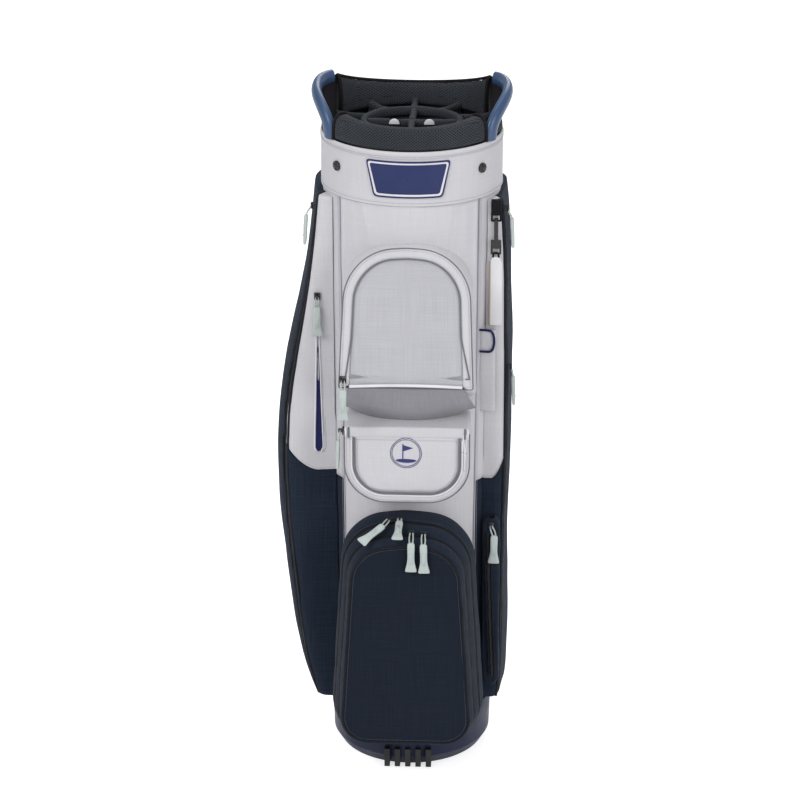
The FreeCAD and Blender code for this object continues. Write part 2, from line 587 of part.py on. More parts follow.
# ---- side pockets --------------------------------------------------------------------------
def side_outline(side, reach, z, inset):
    """A level section of a side pocket: from the trunk, out round its bulge and back."""
    root = SIDE_ROOT
    front, back = SIDE_FRONT_Y + inset, SIDE_BACK_Y - inset
    out = reach - inset
    near = root + (out - root) * 0.80
    middle = (root + near) / 2
    points = [Vector(side * root, front, z), Vector(side * middle, front - 1.0, z),
              Vector(side * near, front + 1.0, z), Vector(side * (out - 3.0), front + 26.0, z),
              Vector(side * out, front + 58.0, z), Vector(side * near, back - 12.0, z),
              Vector(side * middle, back - 2.0, z), Vector(side * root, back, z)]
    curve = Part.BSplineCurve()
    curve.interpolate(points)
    return Part.Wire([curve.toShape(), Part.LineSegment(points[-1], points[0]).toShape()])


def side_pocket(side, reaches, inset):
    last = len(SIDE_LEVELS) - 1
    wires = []
    for i, (z, reach) in enumerate(zip(SIDE_LEVELS, reaches)):
        level = z + inset if i == 0 else z - inset if i == last else z
        wires.append(side_outline(side, reach, level, inset))
    return Part.makeLoft(wires, True, False)


def make_side(name, side, reaches):
    """A tall side pocket: a fixed front gusset, and a door that turns about its rear edge."""
    shell = side_pocket(side, reaches, 0).cut(side_pocket(side, reaches, SIDE_SHELL))
    shell = shell.cut(BODY_KEEP_OUT)
    half_chain = ZIP_WIDTH / 2
    gusset = shell.common(box(-300, 300, -300, ZIP_PLANE_Y - half_chain - CLEAR, 0, 900))
    chain = shell.common(box(-300, 300, ZIP_PLANE_Y - half_chain, ZIP_PLANE_Y + half_chain, 0, 900))
    door = shell.common(box(-300, 300, ZIP_PLANE_Y + half_chain + CLEAR, 300, 0, 900))
    largest = max(chain.Solids, key=lambda solid: solid.Volume)
    save(name + "_pocket_gusset", gusset)
    save(name + "_pocket_door", door)
    return largest


# ---- zip sliders and pulls -----------------------------------------------------------------
class Slider:
    """Where a slider sits: its seat on the zip, its outward normal and its bar's direction."""

    def __init__(self, seat, normal, bar):
        self.normal = Vector(normal).normalize()
        self.bar = Vector(bar).normalize()
        self.run = self.bar.cross(self.normal).normalize()
        self.seat = seat + self.normal * CLEAR
        self.pin = self.seat + self.normal * (SLIDER_PLATE + BAR_HEIGHT)

    def block(self, wide, long, low, high):
        """A box on the seat: its size across the zip, along it, and its two heights."""
        corner = (self.seat - self.bar * (wide / 2) - self.run * (long / 2) + self.normal * low)
        points = [corner, corner + self.bar * wide,
                  corner + self.bar * wide + self.run * long, corner + self.run * long, corner]
        return Part.Face(Part.makePolygon(points)).extrude(self.normal * (high - low))

    def solid(self):
        plate = self.block(SLIDER_WIDTH, SLIDER_LENGTH, 0, SLIDER_PLATE)
        crest = SLIDER_PLATE + 2 * BAR_HEIGHT
        bridge = self.block(BRIDGE_WIDTH, BRIDGE_LENGTH, SLIDER_PLATE, crest)
        hole = bar_between(self.pin - self.bar * SLIDER_WIDTH, self.pin + self.bar * SLIDER_WIDTH,
                           LOOP_RADIUS + STEP_GAP)
        return plate.fuse(bridge).cut(hole).removeSplitter()


def pull(slider, loop_end, grip_end):
    """A cord loop through the slider's bridge, and the moulded grip that it carries."""
    side = slider.bar * LOOP_HALF_GAP
    pin = slider.pin
    loop = bar_between(pin - side, pin + side, LOOP_RADIUS)
    into = (grip_end - loop_end).normalize() * 2.0
    for way in (-1, 1):
        start, end = pin + side * way, loop_end + side * way * 0.7 + into
        loop = loop.fuse(bar_between(start, end, LOOP_RADIUS))
        loop = loop.fuse(Part.makeSphere(LOOP_RADIUS, start))
    length = grip_end - loop_end
    face = slider.bar.cross(length).normalize()
    levels = ((0.0, GRIP_NECK), (0.25, GRIP_NECK - 1), (0.6, GRIP_NECK), (1.0, GRIP_FLARE))
    wires = []
    for t, width in levels:
        centre = loop_end + length * t
        wide, thin = slider.bar * (width / 2), face * (GRIP_THICKNESS / 2)
        corners = [centre - wide - thin, centre + wide - thin,
                   centre + wide + thin, centre - wide + thin, centre - wide - thin]
        wires.append(Part.makePolygon(corners))
    grip = Part.makeLoft(wires, True, True)
    return grip.fuse(loop)


def cooler_seat(x, chain_y):
    """A slider's seat on the crown of the insulated pocket, over the chain at chain_y."""
    rear, near = chain_y + SLIDER_LENGTH / 2, max(abs(x) - SLIDER_WIDTH / 2, 0.0)
    face = Part.Face(cooler_outline(rear, 0))
    probe = Part.makeLine(Vector(near, rear, COOLER_Z0), Vector(near, rear, COOLER_Z1 + 50))
    top = max(vertex.Z for vertex in face.common(probe).Vertexes)
    return Vector(x, chain_y, top)


COOLER_PULLS = {
    # name: zip, place across, how the loop ends and how the grip ends, from the bar
    "cooler_pull_left": ("cooler", -22.0, (-4.0, -21.0, -1.0), (-28.0, -45.0, -15.0)),
    "cooler_pull_right": ("cooler", -9.0, (0.0, -21.0, -1.0), (-1.0, -52.0, -8.0)),
    "ball_pull_left": ("ball", 7.0, (0.5, -26.5, -8.0), (0.5, -27.5, -46.0)),
    "ball_pull_right": ("ball", 22.0, (1.0, -26.5, -8.0), (2.0, -27.5, -46.0)),
}


def cooler_slider(kind, x):
    chain = COOLER_Y1 if kind == "cooler" else COOLER_Y2
    return Slider(cooler_seat(x, chain - CLEAR - ZIP_DEPTH / 2), Z, X)


def cooler_sliders(kind):
    return [cooler_slider(kind, x).solid() for zip_name, x, _, _ in COOLER_PULLS.values()
            if zip_name == kind]


def hang(slider, out, drop=LOOP_LENGTH, sway=0.0):
    """A pull that hangs straight down from its slider, out from the zip by a little."""
    loop_end = slider.pin + slider.normal * out - Z * drop + slider.bar * sway
    return pull(slider, loop_end, loop_end + slider.normal * 1.0 - Z * GRIP_LENGTH
                + slider.bar * sway)


def make_front_pulls():
    for name, (kind, x, loop_end, grip_end) in COOLER_PULLS.items():
        slider = cooler_slider(kind, x)
        save(name, pull(slider, slider.pin + Vector(*loop_end), slider.pin + Vector(*grip_end)))

    slope = Vector(0, VALUABLES_LIP_Y - VALUABLES_TOP_Y, VALUABLES_LIP_Z - VALUABLES_Z1)
    outward = Vector(0, slope.z, -slope.y).normalize()
    z = VALUABLES_LIP_Z + SLIDER_LENGTH
    y = VALUABLES_LIP_Y + slope.y * (z - VALUABLES_LIP_Z) / slope.z
    x = -(VALUABLES_HALF_WIDTH - SLIDER_WIDTH)
    slider = Slider(Vector(x, y, z), outward, X)
    save("valuables_slider", slider.solid())
    along = slope.normalize()
    loop_end = slider.pin + along * LOOP_LENGTH
    save("valuables_pull", pull(slider, loop_end, loop_end + along * GRIP_LENGTH))

    place = Vector(-UTILITY_HALF_WIDTH, UTILITY_Y + SLIDER_WIDTH, UTILITY_Z1 - SLIDER_LENGTH)
    slider = Slider(place, -X, Y)
    save("utility_slider", slider.solid())
    save("utility_pull", hang(slider, 3.0))


# ---- fittings on the side pockets ----------------------------------------------------------
def surface_x(pocket, side, y, z):
    """How far out the pocket's surface lies at one depth and height."""
    probe = Part.makeLine(Vector(side * 60, y, z), Vector(side * 260, y, z))
    hit = pocket.common(probe)
    return side * max(abs(vertex.X) for vertex in hit.Vertexes)


def surface_y(pocket, x, levels):
    """The foremost depth of a side pocket's skin, at one distance across, over some heights."""
    depths = []
    for z in levels:
        probe = Part.makeLine(Vector(x, SIDE_FRONT_Y - 40, z), Vector(x, 0, z))
        depths += [vertex.Y for vertex in pocket.common(probe).Vertexes]
    return min(depths)


def gusset_layer(side, reaches, low, high, x0, x1, z0, z1):
    """A patch of the front gusset's skin, between two heights off its surface."""
    patch = box(min(x0, x1), max(x0, x1), SIDE_FRONT_Y - high - 20, SIDE_FRONT_Y + 12, z0, z1)
    outer = side_pocket(side, reaches, -high)
    return outer.cut(side_pocket(side, reaches, -low)).common(patch).cut(BODY_KEEP_OUT)


def make_gusset_fittings():
    z_mid = (SLASH_Z0 + SLASH_Z1) / 2
    half_low, half_high = SLASH_HALF_WIDTH, SLASH_HALF_WIDTH * 0.5
    points = [(SLASH_X - half_low, SLASH_Z0), (SLASH_X + half_low, SLASH_Z0),
              (SLASH_X + half_low, z_mid), (SLASH_X + half_high, SLASH_Z1),
              (SLASH_X - half_high, SLASH_Z1), (SLASH_X - half_low, z_mid)]
    radii = [half_low * 0.9, half_low * 0.9, 60.0, 1.2, 1.2, 60.0]
    outline = rounded(points, radii, lambda p: Vector(p.x, SIDE_FRONT_Y - 20, p.y))
    prism = Part.Face(outline).extrude(Y * 30)
    layer = gusset_layer(-1, LEFT_REACH, CLEAR, CLEAR + WELT_THICKNESS, SLASH_X - 20, SLASH_X + 20,
                         SLASH_Z0 - 5, SLASH_Z1 + 5)
    save("slash_welt", layer.common(prism))
    top = SLASH_Z1 - SLIDER_LENGTH / 2 - STEP_GAP
    travel = [top - SLASH_TRAVEL * i / 8 for i in range(9)]
    skin = min(surface_y(side_pocket(-1, LEFT_REACH, 0), SLASH_X + dx, travel)
               for dx in (-SLIDER_WIDTH / 2, SLIDER_WIDTH / 2))
    seat = Vector(SLASH_X, skin - CLEAR - WELT_THICKNESS, top)
    slider = Slider(seat, -Y, X)
    save("slash_slider", slider.solid())
    save("slash_pull", hang(slider, 2.0))

    sleeve = gusset_layer(1, RIGHT_REACH, CLEAR, PEN_DEPTH, PEN_X0, PEN_X1, PEN_Z0, PEN_Z1)
    room = gusset_layer(1, RIGHT_REACH, CLEAR, PEN_DEPTH - PEN_WALL, PEN_X0 + PEN_WALL,
                        PEN_X1 - PEN_WALL, PEN_Z0 + PEN_WALL, PEN_Z1 + 5)
    save("pen_sleeve", sleeve.cut(room))
    pocket = gusset_layer(1, RIGHT_REACH, CLEAR, LOWER_DEPTH, LOWER_X0, LOWER_X1,
                          LOWER_Z0, LOWER_Z1)
    room = gusset_layer(1, RIGHT_REACH, CLEAR, LOWER_DEPTH - LOWER_WALL, LOWER_X0 + LOWER_WALL,
                        LOWER_X1 - LOWER_WALL, LOWER_Z0 + LOWER_WALL, LOWER_Z1 - LOWER_WALL)
    pocket = pocket.cut(room).cut(cooler_block(COOLER_BACK, COOLER_Y1, -CLEAR))
    save("right_lower_pocket", pocket)
    middle = (LOWER_X0 + LOWER_X1) / 2
    top = LOWER_Z1 - SLIDER_LENGTH
    levels = (top - SLIDER_LENGTH / 2, top + SLIDER_LENGTH / 2)
    skin = min(surface_y(pocket, middle + dx, levels) for dx in (-SLIDER_WIDTH / 2, 0, SLIDER_WIDTH / 2))
    seat = Vector(middle, skin, top)
    lower = Slider(seat, -Y, X)
    save("right_lower_pull", hang(lower, 3.0, LOOP_LENGTH, 1.5))

    sliders = [lower.solid()]
    for name, side, reaches, z in (("left_pocket_pull", -1, LEFT_REACH, 748.0),
                                   ("right_upper_pull", 1, RIGHT_REACH, 748.0),
                                   ("right_middle_pull", 1, RIGHT_REACH, 536.0)):
        pocket = side_pocket(side, reaches, 0)
        y = ZIP_PLANE_Y - 2.0
        span = [surface_x(pocket, side, y + SLIDER_WIDTH / 2, level)
                for level in (z - SLIDER_LENGTH / 2, z + SLIDER_LENGTH / 2)]
        furthest = side * max(abs(x) for x in span)
        slider = Slider(Vector(furthest, y, z), X * side, Y)
        sliders.append(slider.solid())
        lean = surface_x(pocket, side, y, z - LOOP_LENGTH - GRIP_LENGTH)
        out = max(2.0, abs(lean) - abs(furthest) + GRIP_THICKNESS)
        save(name, hang(slider, out))
    return sliders


def make_towel_holder():
    x0, x1 = TOWEL_X - TOWEL_WIDTH / 2, TOWEL_X + TOWEL_WIDTH / 2
    low = TOWEL_Z0 - HOOK_LENGTH - STRAP_TAB_LENGTH - 2 * TOWEL_DROP
    high = SIDE_LEVELS[-1] - TOWEL_DROP
    levels = [low + (high - low) * i / 6 for i in range(7)]
    pocket = side_pocket(1, RIGHT_REACH, 0)
    face_y = min(surface_y(pocket, x, levels) for x in (x0, TOWEL_X))
    bar_y = face_y - CLEAR - TOWEL_BAR - TOWEL_EYE
    drop = TOWEL_DROP

    def hanger(z_plate, y_plate, thick):
        """Two side wires and a bar below a plate, for the next piece's eye."""
        bar_z = z_plate - drop
        y = y_plate
        bar = bar_between(Vector(x0 + 1, y, bar_z), Vector(x1 - 1, y, bar_z), TOWEL_BAR)
        for x in (x0 + 1, x1 - 1):
            bar = bar.fuse(bar_between(Vector(x, y, bar_z), Vector(x, y, z_plate + thick),
                                       TOWEL_BAR))
            bar = bar.fuse(Part.makeSphere(TOWEL_BAR, Vector(x, y, bar_z)))
        return bar, Vector(TOWEL_X, y, bar_z)

    def eye(centre, width):
        ring = bar_between(centre - X * (width / 2), centre + X * (width / 2),
                           TOWEL_BAR + TOWEL_EYE)
        hole = bar_between(centre - X * width, centre + X * width, TOWEL_BAR + STEP_GAP)
        return ring, hole
    plate = box(x0, x1, bar_y - TOWEL_BAR, SIDE_FRONT_Y + 2, TOWEL_Z0, TOWEL_Z1)
    bar, bar_at = hanger(TOWEL_Z0, bar_y, 4.0)
    save("towel_loop", plate.fuse(bar).cut(side_pocket(1, RIGHT_REACH, -CLEAR)))

    ring, hole = eye(bar_at, 5.0)
    top = bar_at.z - TOWEL_BAR - 1.0
    low = top - HOOK_LENGTH
    half = HOOK_THICKNESS / 2
    stem = box(TOWEL_X - 2.5, TOWEL_X + 2.5, bar_y - half, bar_y + half, low, top)
    wide = box(x0, x1, bar_y - half, bar_y + half, low, low + 10)
    bar, second_at = hanger(low, bar_y, 4.0)
    save("towel_hook", stem.fuse(wide).fuse(ring).fuse(bar).cut(hole))

    ring, hole = eye(second_at, 8.0)
    top = second_at.z - TOWEL_BAR - 1.0
    half = STRAP_TAB_THICKNESS / 2
    tab = box(TOWEL_X - STRAP_TAB_WIDTH / 2, TOWEL_X + STRAP_TAB_WIDTH / 2, bar_y - half,
              bar_y + half, top - STRAP_TAB_LENGTH, top - 2)
    neck = box(TOWEL_X - 4.0, TOWEL_X + 4.0, bar_y - half, bar_y + half, top - 4, top)
    save("towel_strap", tab.fuse(neck).fuse(ring).cut(hole))


# ---- back of the bag -----------------------------------------------------------------------
def band(x, z0, z1, bow, width_at, thick_at, base_at):
    """A strap that bows out from the back; t runs from 0 at its low end to 1 at its top."""
    wires = []
    steps = 10
    for i in range(steps + 1):
        t = i / steps
        z = z0 + (z1 - z0) * t
        y = base_at(z) + bow * math.sin(math.pi * t) ** 0.7
        half, thick = width_at(t) / 2, thick_at(t)
        wires.append(Part.makePolygon([Vector(x - half, y, z), Vector(x + half, y, z),
                                       Vector(x + half, y + thick, z),
                                       Vector(x - half, y + thick, z), Vector(x - half, y, z)]))
    return Part.makeLoft(wires, True, False)


def back_y(x, half, z):
    """The depth of the trunk's back surface under a strap of one half width, plus clearance."""
    t = (z - BODY_Z0) / (BODY_Z1 - BODY_Z0)
    half_width = BODY_HALF_WIDTH_LOW + t * (BODY_HALF_WIDTH_TOP - BODY_HALF_WIDTH_LOW)
    half_depth = BODY_HALF_DEPTH_LOW + t * (BODY_HALF_DEPTH_TOP - BODY_HALF_DEPTH_LOW)
    inner = max(abs(x) - half, 0.0)
    return half_depth * math.sqrt(1 - (inner / half_width) ** 2) + CLEAR


def make_back():
    def swell(t):
        return min(1.0, max(0.0, (0.5 - abs(t - 0.5)) / 0.18 - 0.6))
    strap = band(STRAP_X, STRAP_Z0, STRAP_Z1, STRAP_BOW,
                 lambda t: STRAP_END_WIDTH + (STRAP_WIDTH - STRAP_END_WIDTH) * swell(t),
                 lambda t: STRAP_END_THICKNESS + (STRAP_THICKNESS - STRAP_END_THICKNESS) * swell(t),
                 lambda z: back_y(STRAP_X, STRAP_WIDTH / 2, z) + 2 * RING_WIRE)
    save("shoulder_strap", strap)
    rings = []
    half = STRAP_END_WIDTH / 2
    for z, way in ((STRAP_Z0 - CLEAR, -1), (STRAP_Z1 + CLEAR, 1)):
        y = back_y(STRAP_X, STRAP_WIDTH / 2, z) + 2 * RING_WIRE + STRAP_END_THICKNESS / 2
        near, far = z + way * RING_WIRE, z + way * RING_DROP
        corners = [Vector(STRAP_X - half, y, near), Vector(STRAP_X + half, y, near),
                   Vector(STRAP_X + half * 0.6, y, far), Vector(STRAP_X - half * 0.6, y, far)]
        ring = Part.makeSphere(RING_WIRE, corners[0])
        for i, corner in enumerate(corners):
            after = corners[(i + 1) % 4]
            ring = ring.fuse(bar_between(corner, after, RING_WIRE))
            ring = ring.fuse(Part.makeSphere(RING_WIRE, after))
        grip = STRAP_END_WIDTH * 0.4
        anchor = box(STRAP_X - grip / 2, STRAP_X + grip / 2, 0, y + RING_WIRE + 1.5,
                     far - RING_WIRE - 1.5, far + RING_WIRE + 1.5)
        hole = bar_between(Vector(STRAP_X - half, y, far), Vector(STRAP_X + half, y, far),
                           RING_WIRE + CLEAR)
        anchor = anchor.cut(hole).cut(BODY_KEEP_OUT)
        rings.append(ring)
        rings.append(max(anchor.Solids, key=lambda solid: solid.CenterOfMass.y))
    save("strap_rings", *rings)
    grab = band(GRAB_X, GRAB_Z0, GRAB_Z1, GRAB_BOW, lambda t: GRAB_WIDTH,
                lambda t: GRAB_THICKNESS,
                lambda z: back_y(GRAB_X, GRAB_WIDTH / 2, z))
    save("grab_handle", grab)


def main():
    os.makedirs("parts", exist_ok=True)
    make_base()
    make_trunk()
    make_cuff()
    make_rim()
    make_divider()
    make_cooler()
    make_valuables()
    make_utility()
    make_front_pulls()
    left_chain = make_side("left", -1, LEFT_REACH)
    right_chain = make_side("right", 1, RIGHT_REACH)
    save("side_zips", left_chain, right_chain, *make_gusset_fittings())
    make_towel_holder()
    make_back()


main()
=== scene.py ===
"""The looks of a golf cart bag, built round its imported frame. Sizes in millimetres until a mesh is made."""
import json
import math

import bpy
import numpy as np
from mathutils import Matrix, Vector, noise
from mathutils.bvhtree import BVHTree


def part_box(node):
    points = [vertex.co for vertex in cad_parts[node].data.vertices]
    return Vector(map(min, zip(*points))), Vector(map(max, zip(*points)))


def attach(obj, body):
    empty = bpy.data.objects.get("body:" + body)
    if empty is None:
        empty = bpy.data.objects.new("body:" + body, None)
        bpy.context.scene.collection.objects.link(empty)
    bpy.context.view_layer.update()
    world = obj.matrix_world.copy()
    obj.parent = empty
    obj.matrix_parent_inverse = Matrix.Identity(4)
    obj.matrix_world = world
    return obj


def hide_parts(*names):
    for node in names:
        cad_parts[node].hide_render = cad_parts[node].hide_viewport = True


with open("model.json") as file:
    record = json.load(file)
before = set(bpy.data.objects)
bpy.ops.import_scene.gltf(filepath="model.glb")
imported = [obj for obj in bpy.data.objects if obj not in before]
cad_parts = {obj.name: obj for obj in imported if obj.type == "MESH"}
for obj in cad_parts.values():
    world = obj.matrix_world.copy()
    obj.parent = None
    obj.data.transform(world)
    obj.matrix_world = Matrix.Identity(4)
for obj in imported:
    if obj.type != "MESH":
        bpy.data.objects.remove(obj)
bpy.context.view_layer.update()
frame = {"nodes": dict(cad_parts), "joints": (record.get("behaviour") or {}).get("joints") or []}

MM = 0.001
TAU = 2 * math.pi
FORWARD = (0, -1, 0)


def box_mm(node):
    """A node's lowest and highest corners, in millimetres."""
    low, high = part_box(node)
    return np.array(low) / MM, np.array(high) / MM


# ---- materials -----------------------------------------------------------------------------
def srgb(*rgb255):
    """Screen colour, 0 to 255, as the linear colour that a shader takes."""
    linear = [c / 12.92 if c <= 0.04045 else ((c + 0.055) / 1.055) ** 2.4
              for c in (v / 255 for v in rgb255)]
    return (*linear, 1.0)


class Nodes:
    """A short way to build a material's node tree."""

    def __init__(self, name, roughness=0.6, **sockets):
        self.material = bpy.data.materials.new(name)
        self.material.use_nodes = True
        self.tree = self.material.node_tree
        self.shader = self.tree.nodes["Principled BSDF"]
        self.shader.inputs["Roughness"].default_value = roughness
        for key, value in sockets.items():
            self.shader.inputs[key.replace("_", " ")].default_value = value

    def add(self, kind, **inputs):
        node = self.tree.nodes.new("ShaderNode" + kind)
        for key, value in inputs.items():
            self.put(node, key, value)
        return node

    def put(self, node, key, value):
        """Links an output to a socket, or sets the socket's value; _ is a space, a digit an index."""
        socket = node.inputs[int(key[1:])] if key[0] == "i" and key[1:].isdigit() \
            else node.inputs[key.replace("_", " ")]
        if isinstance(value, bpy.types.NodeSocket):
            self.tree.links.new(value, socket)
        else:
            socket.default_value = value

    def math(self, operation, a, b=0.5):
        node = self.add("Math", i0=a, i1=b)
        node.operation = operation
        return node.outputs[0]

    def ramp(self, value, *stops):
        node = self.add("ValToRGB", Fac=value)
        elements = node.color_ramp.elements
        while len(elements) < len(stops):
            elements.new(0.5)
        for element, (place, colour) in zip(elements, stops):
            element.position = place
            element.color = colour if isinstance(colour, tuple) else (colour, colour, colour, 1)
        return node.outputs[0]

    def mix(self, factor, a, b, blend="MIX"):
        node = self.add("Mix")
        node.data_type = "RGBA"
        node.blend_type = blend
        for index, value in ((0, factor), (6, a), (7, b)):
            self.put(node, f"i{index}", value)
        return node.outputs[2]

    def coords(self, scale=(1, 1, 1), kind="Object"):
        """Coordinates in metres: the object's own, or the cloth's, times a scale."""
        if kind == "Object":
            source = self.add("TexCoord").outputs["Object"]
        else:
            uv = self.add("UVMap")
            uv.uv_map = "cloth"
            source = uv.outputs[0]
        return self.add("Mapping", Vector=source, Scale=scale).outputs[0]

    def noise(self, scale, detail=3.0, roughness=0.55, stretch=(1, 1, 1), kind="Object"):
        node = self.add("TexNoise", Vector=self.coords(stretch, kind), Scale=scale, Detail=detail,
                        Roughness=roughness)
        return node.outputs["Fac"]

    def bump(self, height, distance, strength=1.0, below=None):
        node = self.add("Bump", Height=height, Distance=distance, Strength=strength)
        if below is not None:
            self.put(node, "Normal", below)
        return node.outputs[0]

    def finish(self, colour=None, normal=None, rough=None):
        if colour is not None:
            self.put(self.shader, "Base Color", colour)
        if normal is not None:
            self.put(self.shader, "Normal", normal)
        if rough is not None:
            self.put(self.shader, "Roughness", rough)
        return self.material


def cloth(name, colour, thread=0.9, slub=0.10, mottle=0.05, roughness=0.82, sheen=0.15):
    """Plain-woven polyester: crossing threads, uneven slubs both ways and a soft mottle."""
    n = Nodes(name, roughness, Sheen_Weight=sheen, Sheen_Roughness=0.5, Specular_IOR_Level=0.15)
    per_metre = 1 / (thread * MM)
    warp = n.add("TexWave", Vector=n.coords((1, 1, 1), "cloth"), Scale=per_metre / TAU * 2)
    warp.bands_direction = "X"
    weft = n.add("TexWave", Vector=n.coords((1, 1, 1), "cloth"), Scale=per_metre / TAU * 2)
    weft.bands_direction = "Y"
    check = n.add("TexChecker", Vector=n.coords((1, 1, 1), "cloth"), Scale=per_metre)
    threads = n.mix(check.outputs["Fac"], warp.outputs["Color"], weft.outputs["Color"])
    across = n.noise(60, 2, 0.6, (0.25, 14, 1), "cloth")
    along = n.noise(60, 2, 0.6, (14, 0.25, 1), "cloth")
    slubs = n.math("MULTIPLY", n.math("ADD", across, along), 0.5)
    patch = n.noise(9, 3)
    dark = tuple(c * (1 - slub * 2.2) for c in colour[:3]) + (1,)
    light = tuple(min(1, c * (1 + slub * 1.5)) for c in colour[:3]) + (1,)
    base = n.mix(n.ramp(slubs, (0.38, 0.0), (0.62, 1.0)), dark, light)
    shade = n.ramp(patch, (0.3, 1 - mottle), (0.7, 1.0))
    base = n.mix(1.0, base, shade, "MULTIPLY")
    threads_dark = n.ramp(threads, (0.0, 0.86), (0.6, 1.0))
    base = n.mix(1.0, base, threads_dark, "MULTIPLY")
    height = n.bump(threads, 0.00022, 0.55)
    height = n.bump(slubs, 0.0006, 0.35, height)
    height = n.bump(n.noise(26, 4, 0.6), 0.0022, 0.35, height)
    return n.finish(base, height)


def spacer_mesh(name, colour, hole, pitch=2.6):
    """Padded spacer mesh: a net of small diamond holes."""
    n = Nodes(name, 0.85, Sheen_Weight=0.03, Sheen_Roughness=0.45, Specular_IOR_Level=0.15)
    per_metre = 1 / (pitch * MM)
    bands = []
    for angle in (0.9, -0.9):
        vector = n.add("Mapping", Vector=n.coords((1, 1, 1), "cloth"), Rotation=(0, 0, angle))
        wave = n.add("TexWave", Vector=vector.outputs[0], Scale=per_metre / TAU * 2)
        bands.append(wave.outputs["Fac"])
    net = n.math("MAXIMUM", *bands)
    base = n.mix(n.ramp(net, (0.35, 0.0), (0.8, 1.0)), hole, colour)
    patch = n.ramp(n.noise(14, 4), (0.3, 0.82), (0.7, 1.08))
    base = n.mix(1.0, base, patch, "MULTIPLY")
    height = n.bump(net, 0.0009, 0.8)
    return n.finish(base, n.bump(n.noise(40, 3), 0.0015, 0.3, height))


def moulded(name, colour, roughness=0.38, grain=900, depth=0.00008, **sockets):
    """Moulded plastic or rubber: a fine grain, a little worn where it is rubbed."""
    n = Nodes(name, roughness, **sockets)
    patch = n.ramp(n.noise(18, 4), (0.3, 0.90), (0.7, 1.06))
    base = n.mix(1.0, colour, patch, "MULTIPLY")
    rough = n.ramp(n.noise(35, 4), (0.3, roughness * 0.85), (0.75, min(1, roughness * 1.25)))
    return n.finish(base, n.bump(n.noise(grain, 2), depth, 0.6), rough)


def webbing(name, colour, rib=1.6):
    """Woven tape: close ribs across its width."""
    n = Nodes(name, 0.8, Sheen_Weight=0.02, Sheen_Roughness=0.5, Specular_IOR_Level=0.15)
    wave = n.add("TexWave", Vector=n.coords((1, 1, 1), "cloth"), Scale=1 / (rib * MM) / TAU * 2)
    wave.bands_direction = "Y"
    base = n.mix(n.ramp(wave.outputs["Fac"], (0.2, 0.0), (0.8, 1.0)),
                 tuple(c * 0.6 for c in colour[:3]) + (1,), colour)
    return n.finish(base, n.bump(wave.outputs["Fac"], 0.0004, 0.6))


LIGHT = srgb(214, 213, 217)
PANEL = srgb(192, 192, 198)
NAVY = srgb(33, 43, 58)
MATERIALS = {
    "light": cloth("light_cloth", LIGHT, slub=0.02, mottle=0.03),
    "panel": cloth("pocket_cloth", PANEL, slub=0.035, mottle=0.04),
    # painted shade: the darker grey 'shade' cloth stands in for the shade on the valuables pocket's underside,
    # which faces down
    "shade": cloth("underside_painted_shade_cloth", srgb(158, 157, 163), slub=0.05, mottle=0.05),
    "navy": cloth("navy_cloth", NAVY, slub=0.14, mottle=0.10, roughness=0.9, sheen=0.04),
    "deep": cloth("deep_navy_cloth", srgb(25, 33, 46), slub=0.12, mottle=0.08, roughness=0.9, sheen=0.04),
    "lining": cloth("slash_lining", srgb(40, 42, 88), slub=0.10, sheen=0.02),
    "sleeve": cloth("divider_cloth", srgb(50, 54, 60), slub=0.12, thread=1.2),
    "mesh": spacer_mesh("rim_mesh", srgb(62, 66, 72), srgb(20, 22, 26)),
    "binding": webbing("black_binding", srgb(30, 27, 30), rib=1.1),
    "tape": webbing("zip_tape", srgb(20, 22, 29), rib=0.9),
    "light_tape": webbing("light_zip_tape", srgb(196, 194, 200), rib=0.9),
    "webbing": webbing("black_webbing", srgb(26, 26, 29)),
    "piping": moulded("dark_piping", srgb(18, 21, 28), 0.7, Specular_IOR_Level=0.2),
    "light_piping": moulded("light_piping", srgb(222, 222, 226), 0.55),
    "grey_piping": moulded("grey_piping", srgb(108, 108, 116), 0.6),
    "teeth": moulded("dark_teeth", srgb(38, 42, 50), 0.45),
    "light_teeth": moulded("light_teeth", srgb(176, 176, 182), 0.4),
    "base": moulded("base_plastic", srgb(22, 30, 56), 0.5, 700, 0.0001, Specular_IOR_Level=0.25),
    "handle": moulded("handle_plastic", srgb(52, 78, 114), 0.34, 1200, 0.00004),
    "rubber": moulded("black_rubber", srgb(20, 20, 23), 0.6),
    "black": moulded("black_plastic", srgb(18, 18, 20), 0.3),
    "dark_metal": moulded("dark_metal", srgb(70, 70, 74), 0.28, 1500, 0.00002, Metallic=0.9),
    "rod": moulded("rod_metal", srgb(160, 162, 166), 0.35, 1500, 0.00002, Metallic=0.9),
    "liner": moulded("liner_plastic", srgb(34, 36, 42), 0.55),
    "grip": moulded("pull_rubber", srgb(184, 194, 191), 0.6, 1400, 0.00005, Specular_IOR_Level=0.3),
    "cord": webbing("pull_cord", srgb(214, 222, 216), rib=0.7),
    "badge_navy": moulded("badge_navy", srgb(44, 52, 94), 0.5, 1600, 0.00004, Specular_IOR_Level=0.2),
    "badge_light": moulded("badge_light", srgb(222, 221, 226), 0.5, 1600, 0.00004),
    "thread_light": moulded("light_thread", srgb(176, 174, 184), 0.8),
    "thread_dark": moulded("dark_thread", srgb(70, 78, 92), 0.8),
    "foil": moulded("cooler_foil", srgb(170, 173, 178), 0.3, 120, 0.0006, Metallic=0.5),
    "tab": moulded("light_tab", srgb(214, 216, 218), 0.4),
    "strap_light": moulded("strap_light", srgb(222, 221, 224), 0.6),
    "tan": moulded("tan_edge", srgb(158, 142, 124), 0.6),
    "print_navy": moulded("navy_print", srgb(44, 48, 108), 0.6),
}


# ---- mesh helpers --------------------------------------------------------------------------
def unit(vectors):
    """Rows of vectors at length 1."""
    vectors = np.asarray(vectors, float)
    length = np.linalg.norm(vectors, axis=-1, keepdims=True)
    return vectors / np.maximum(length, 1e-9)


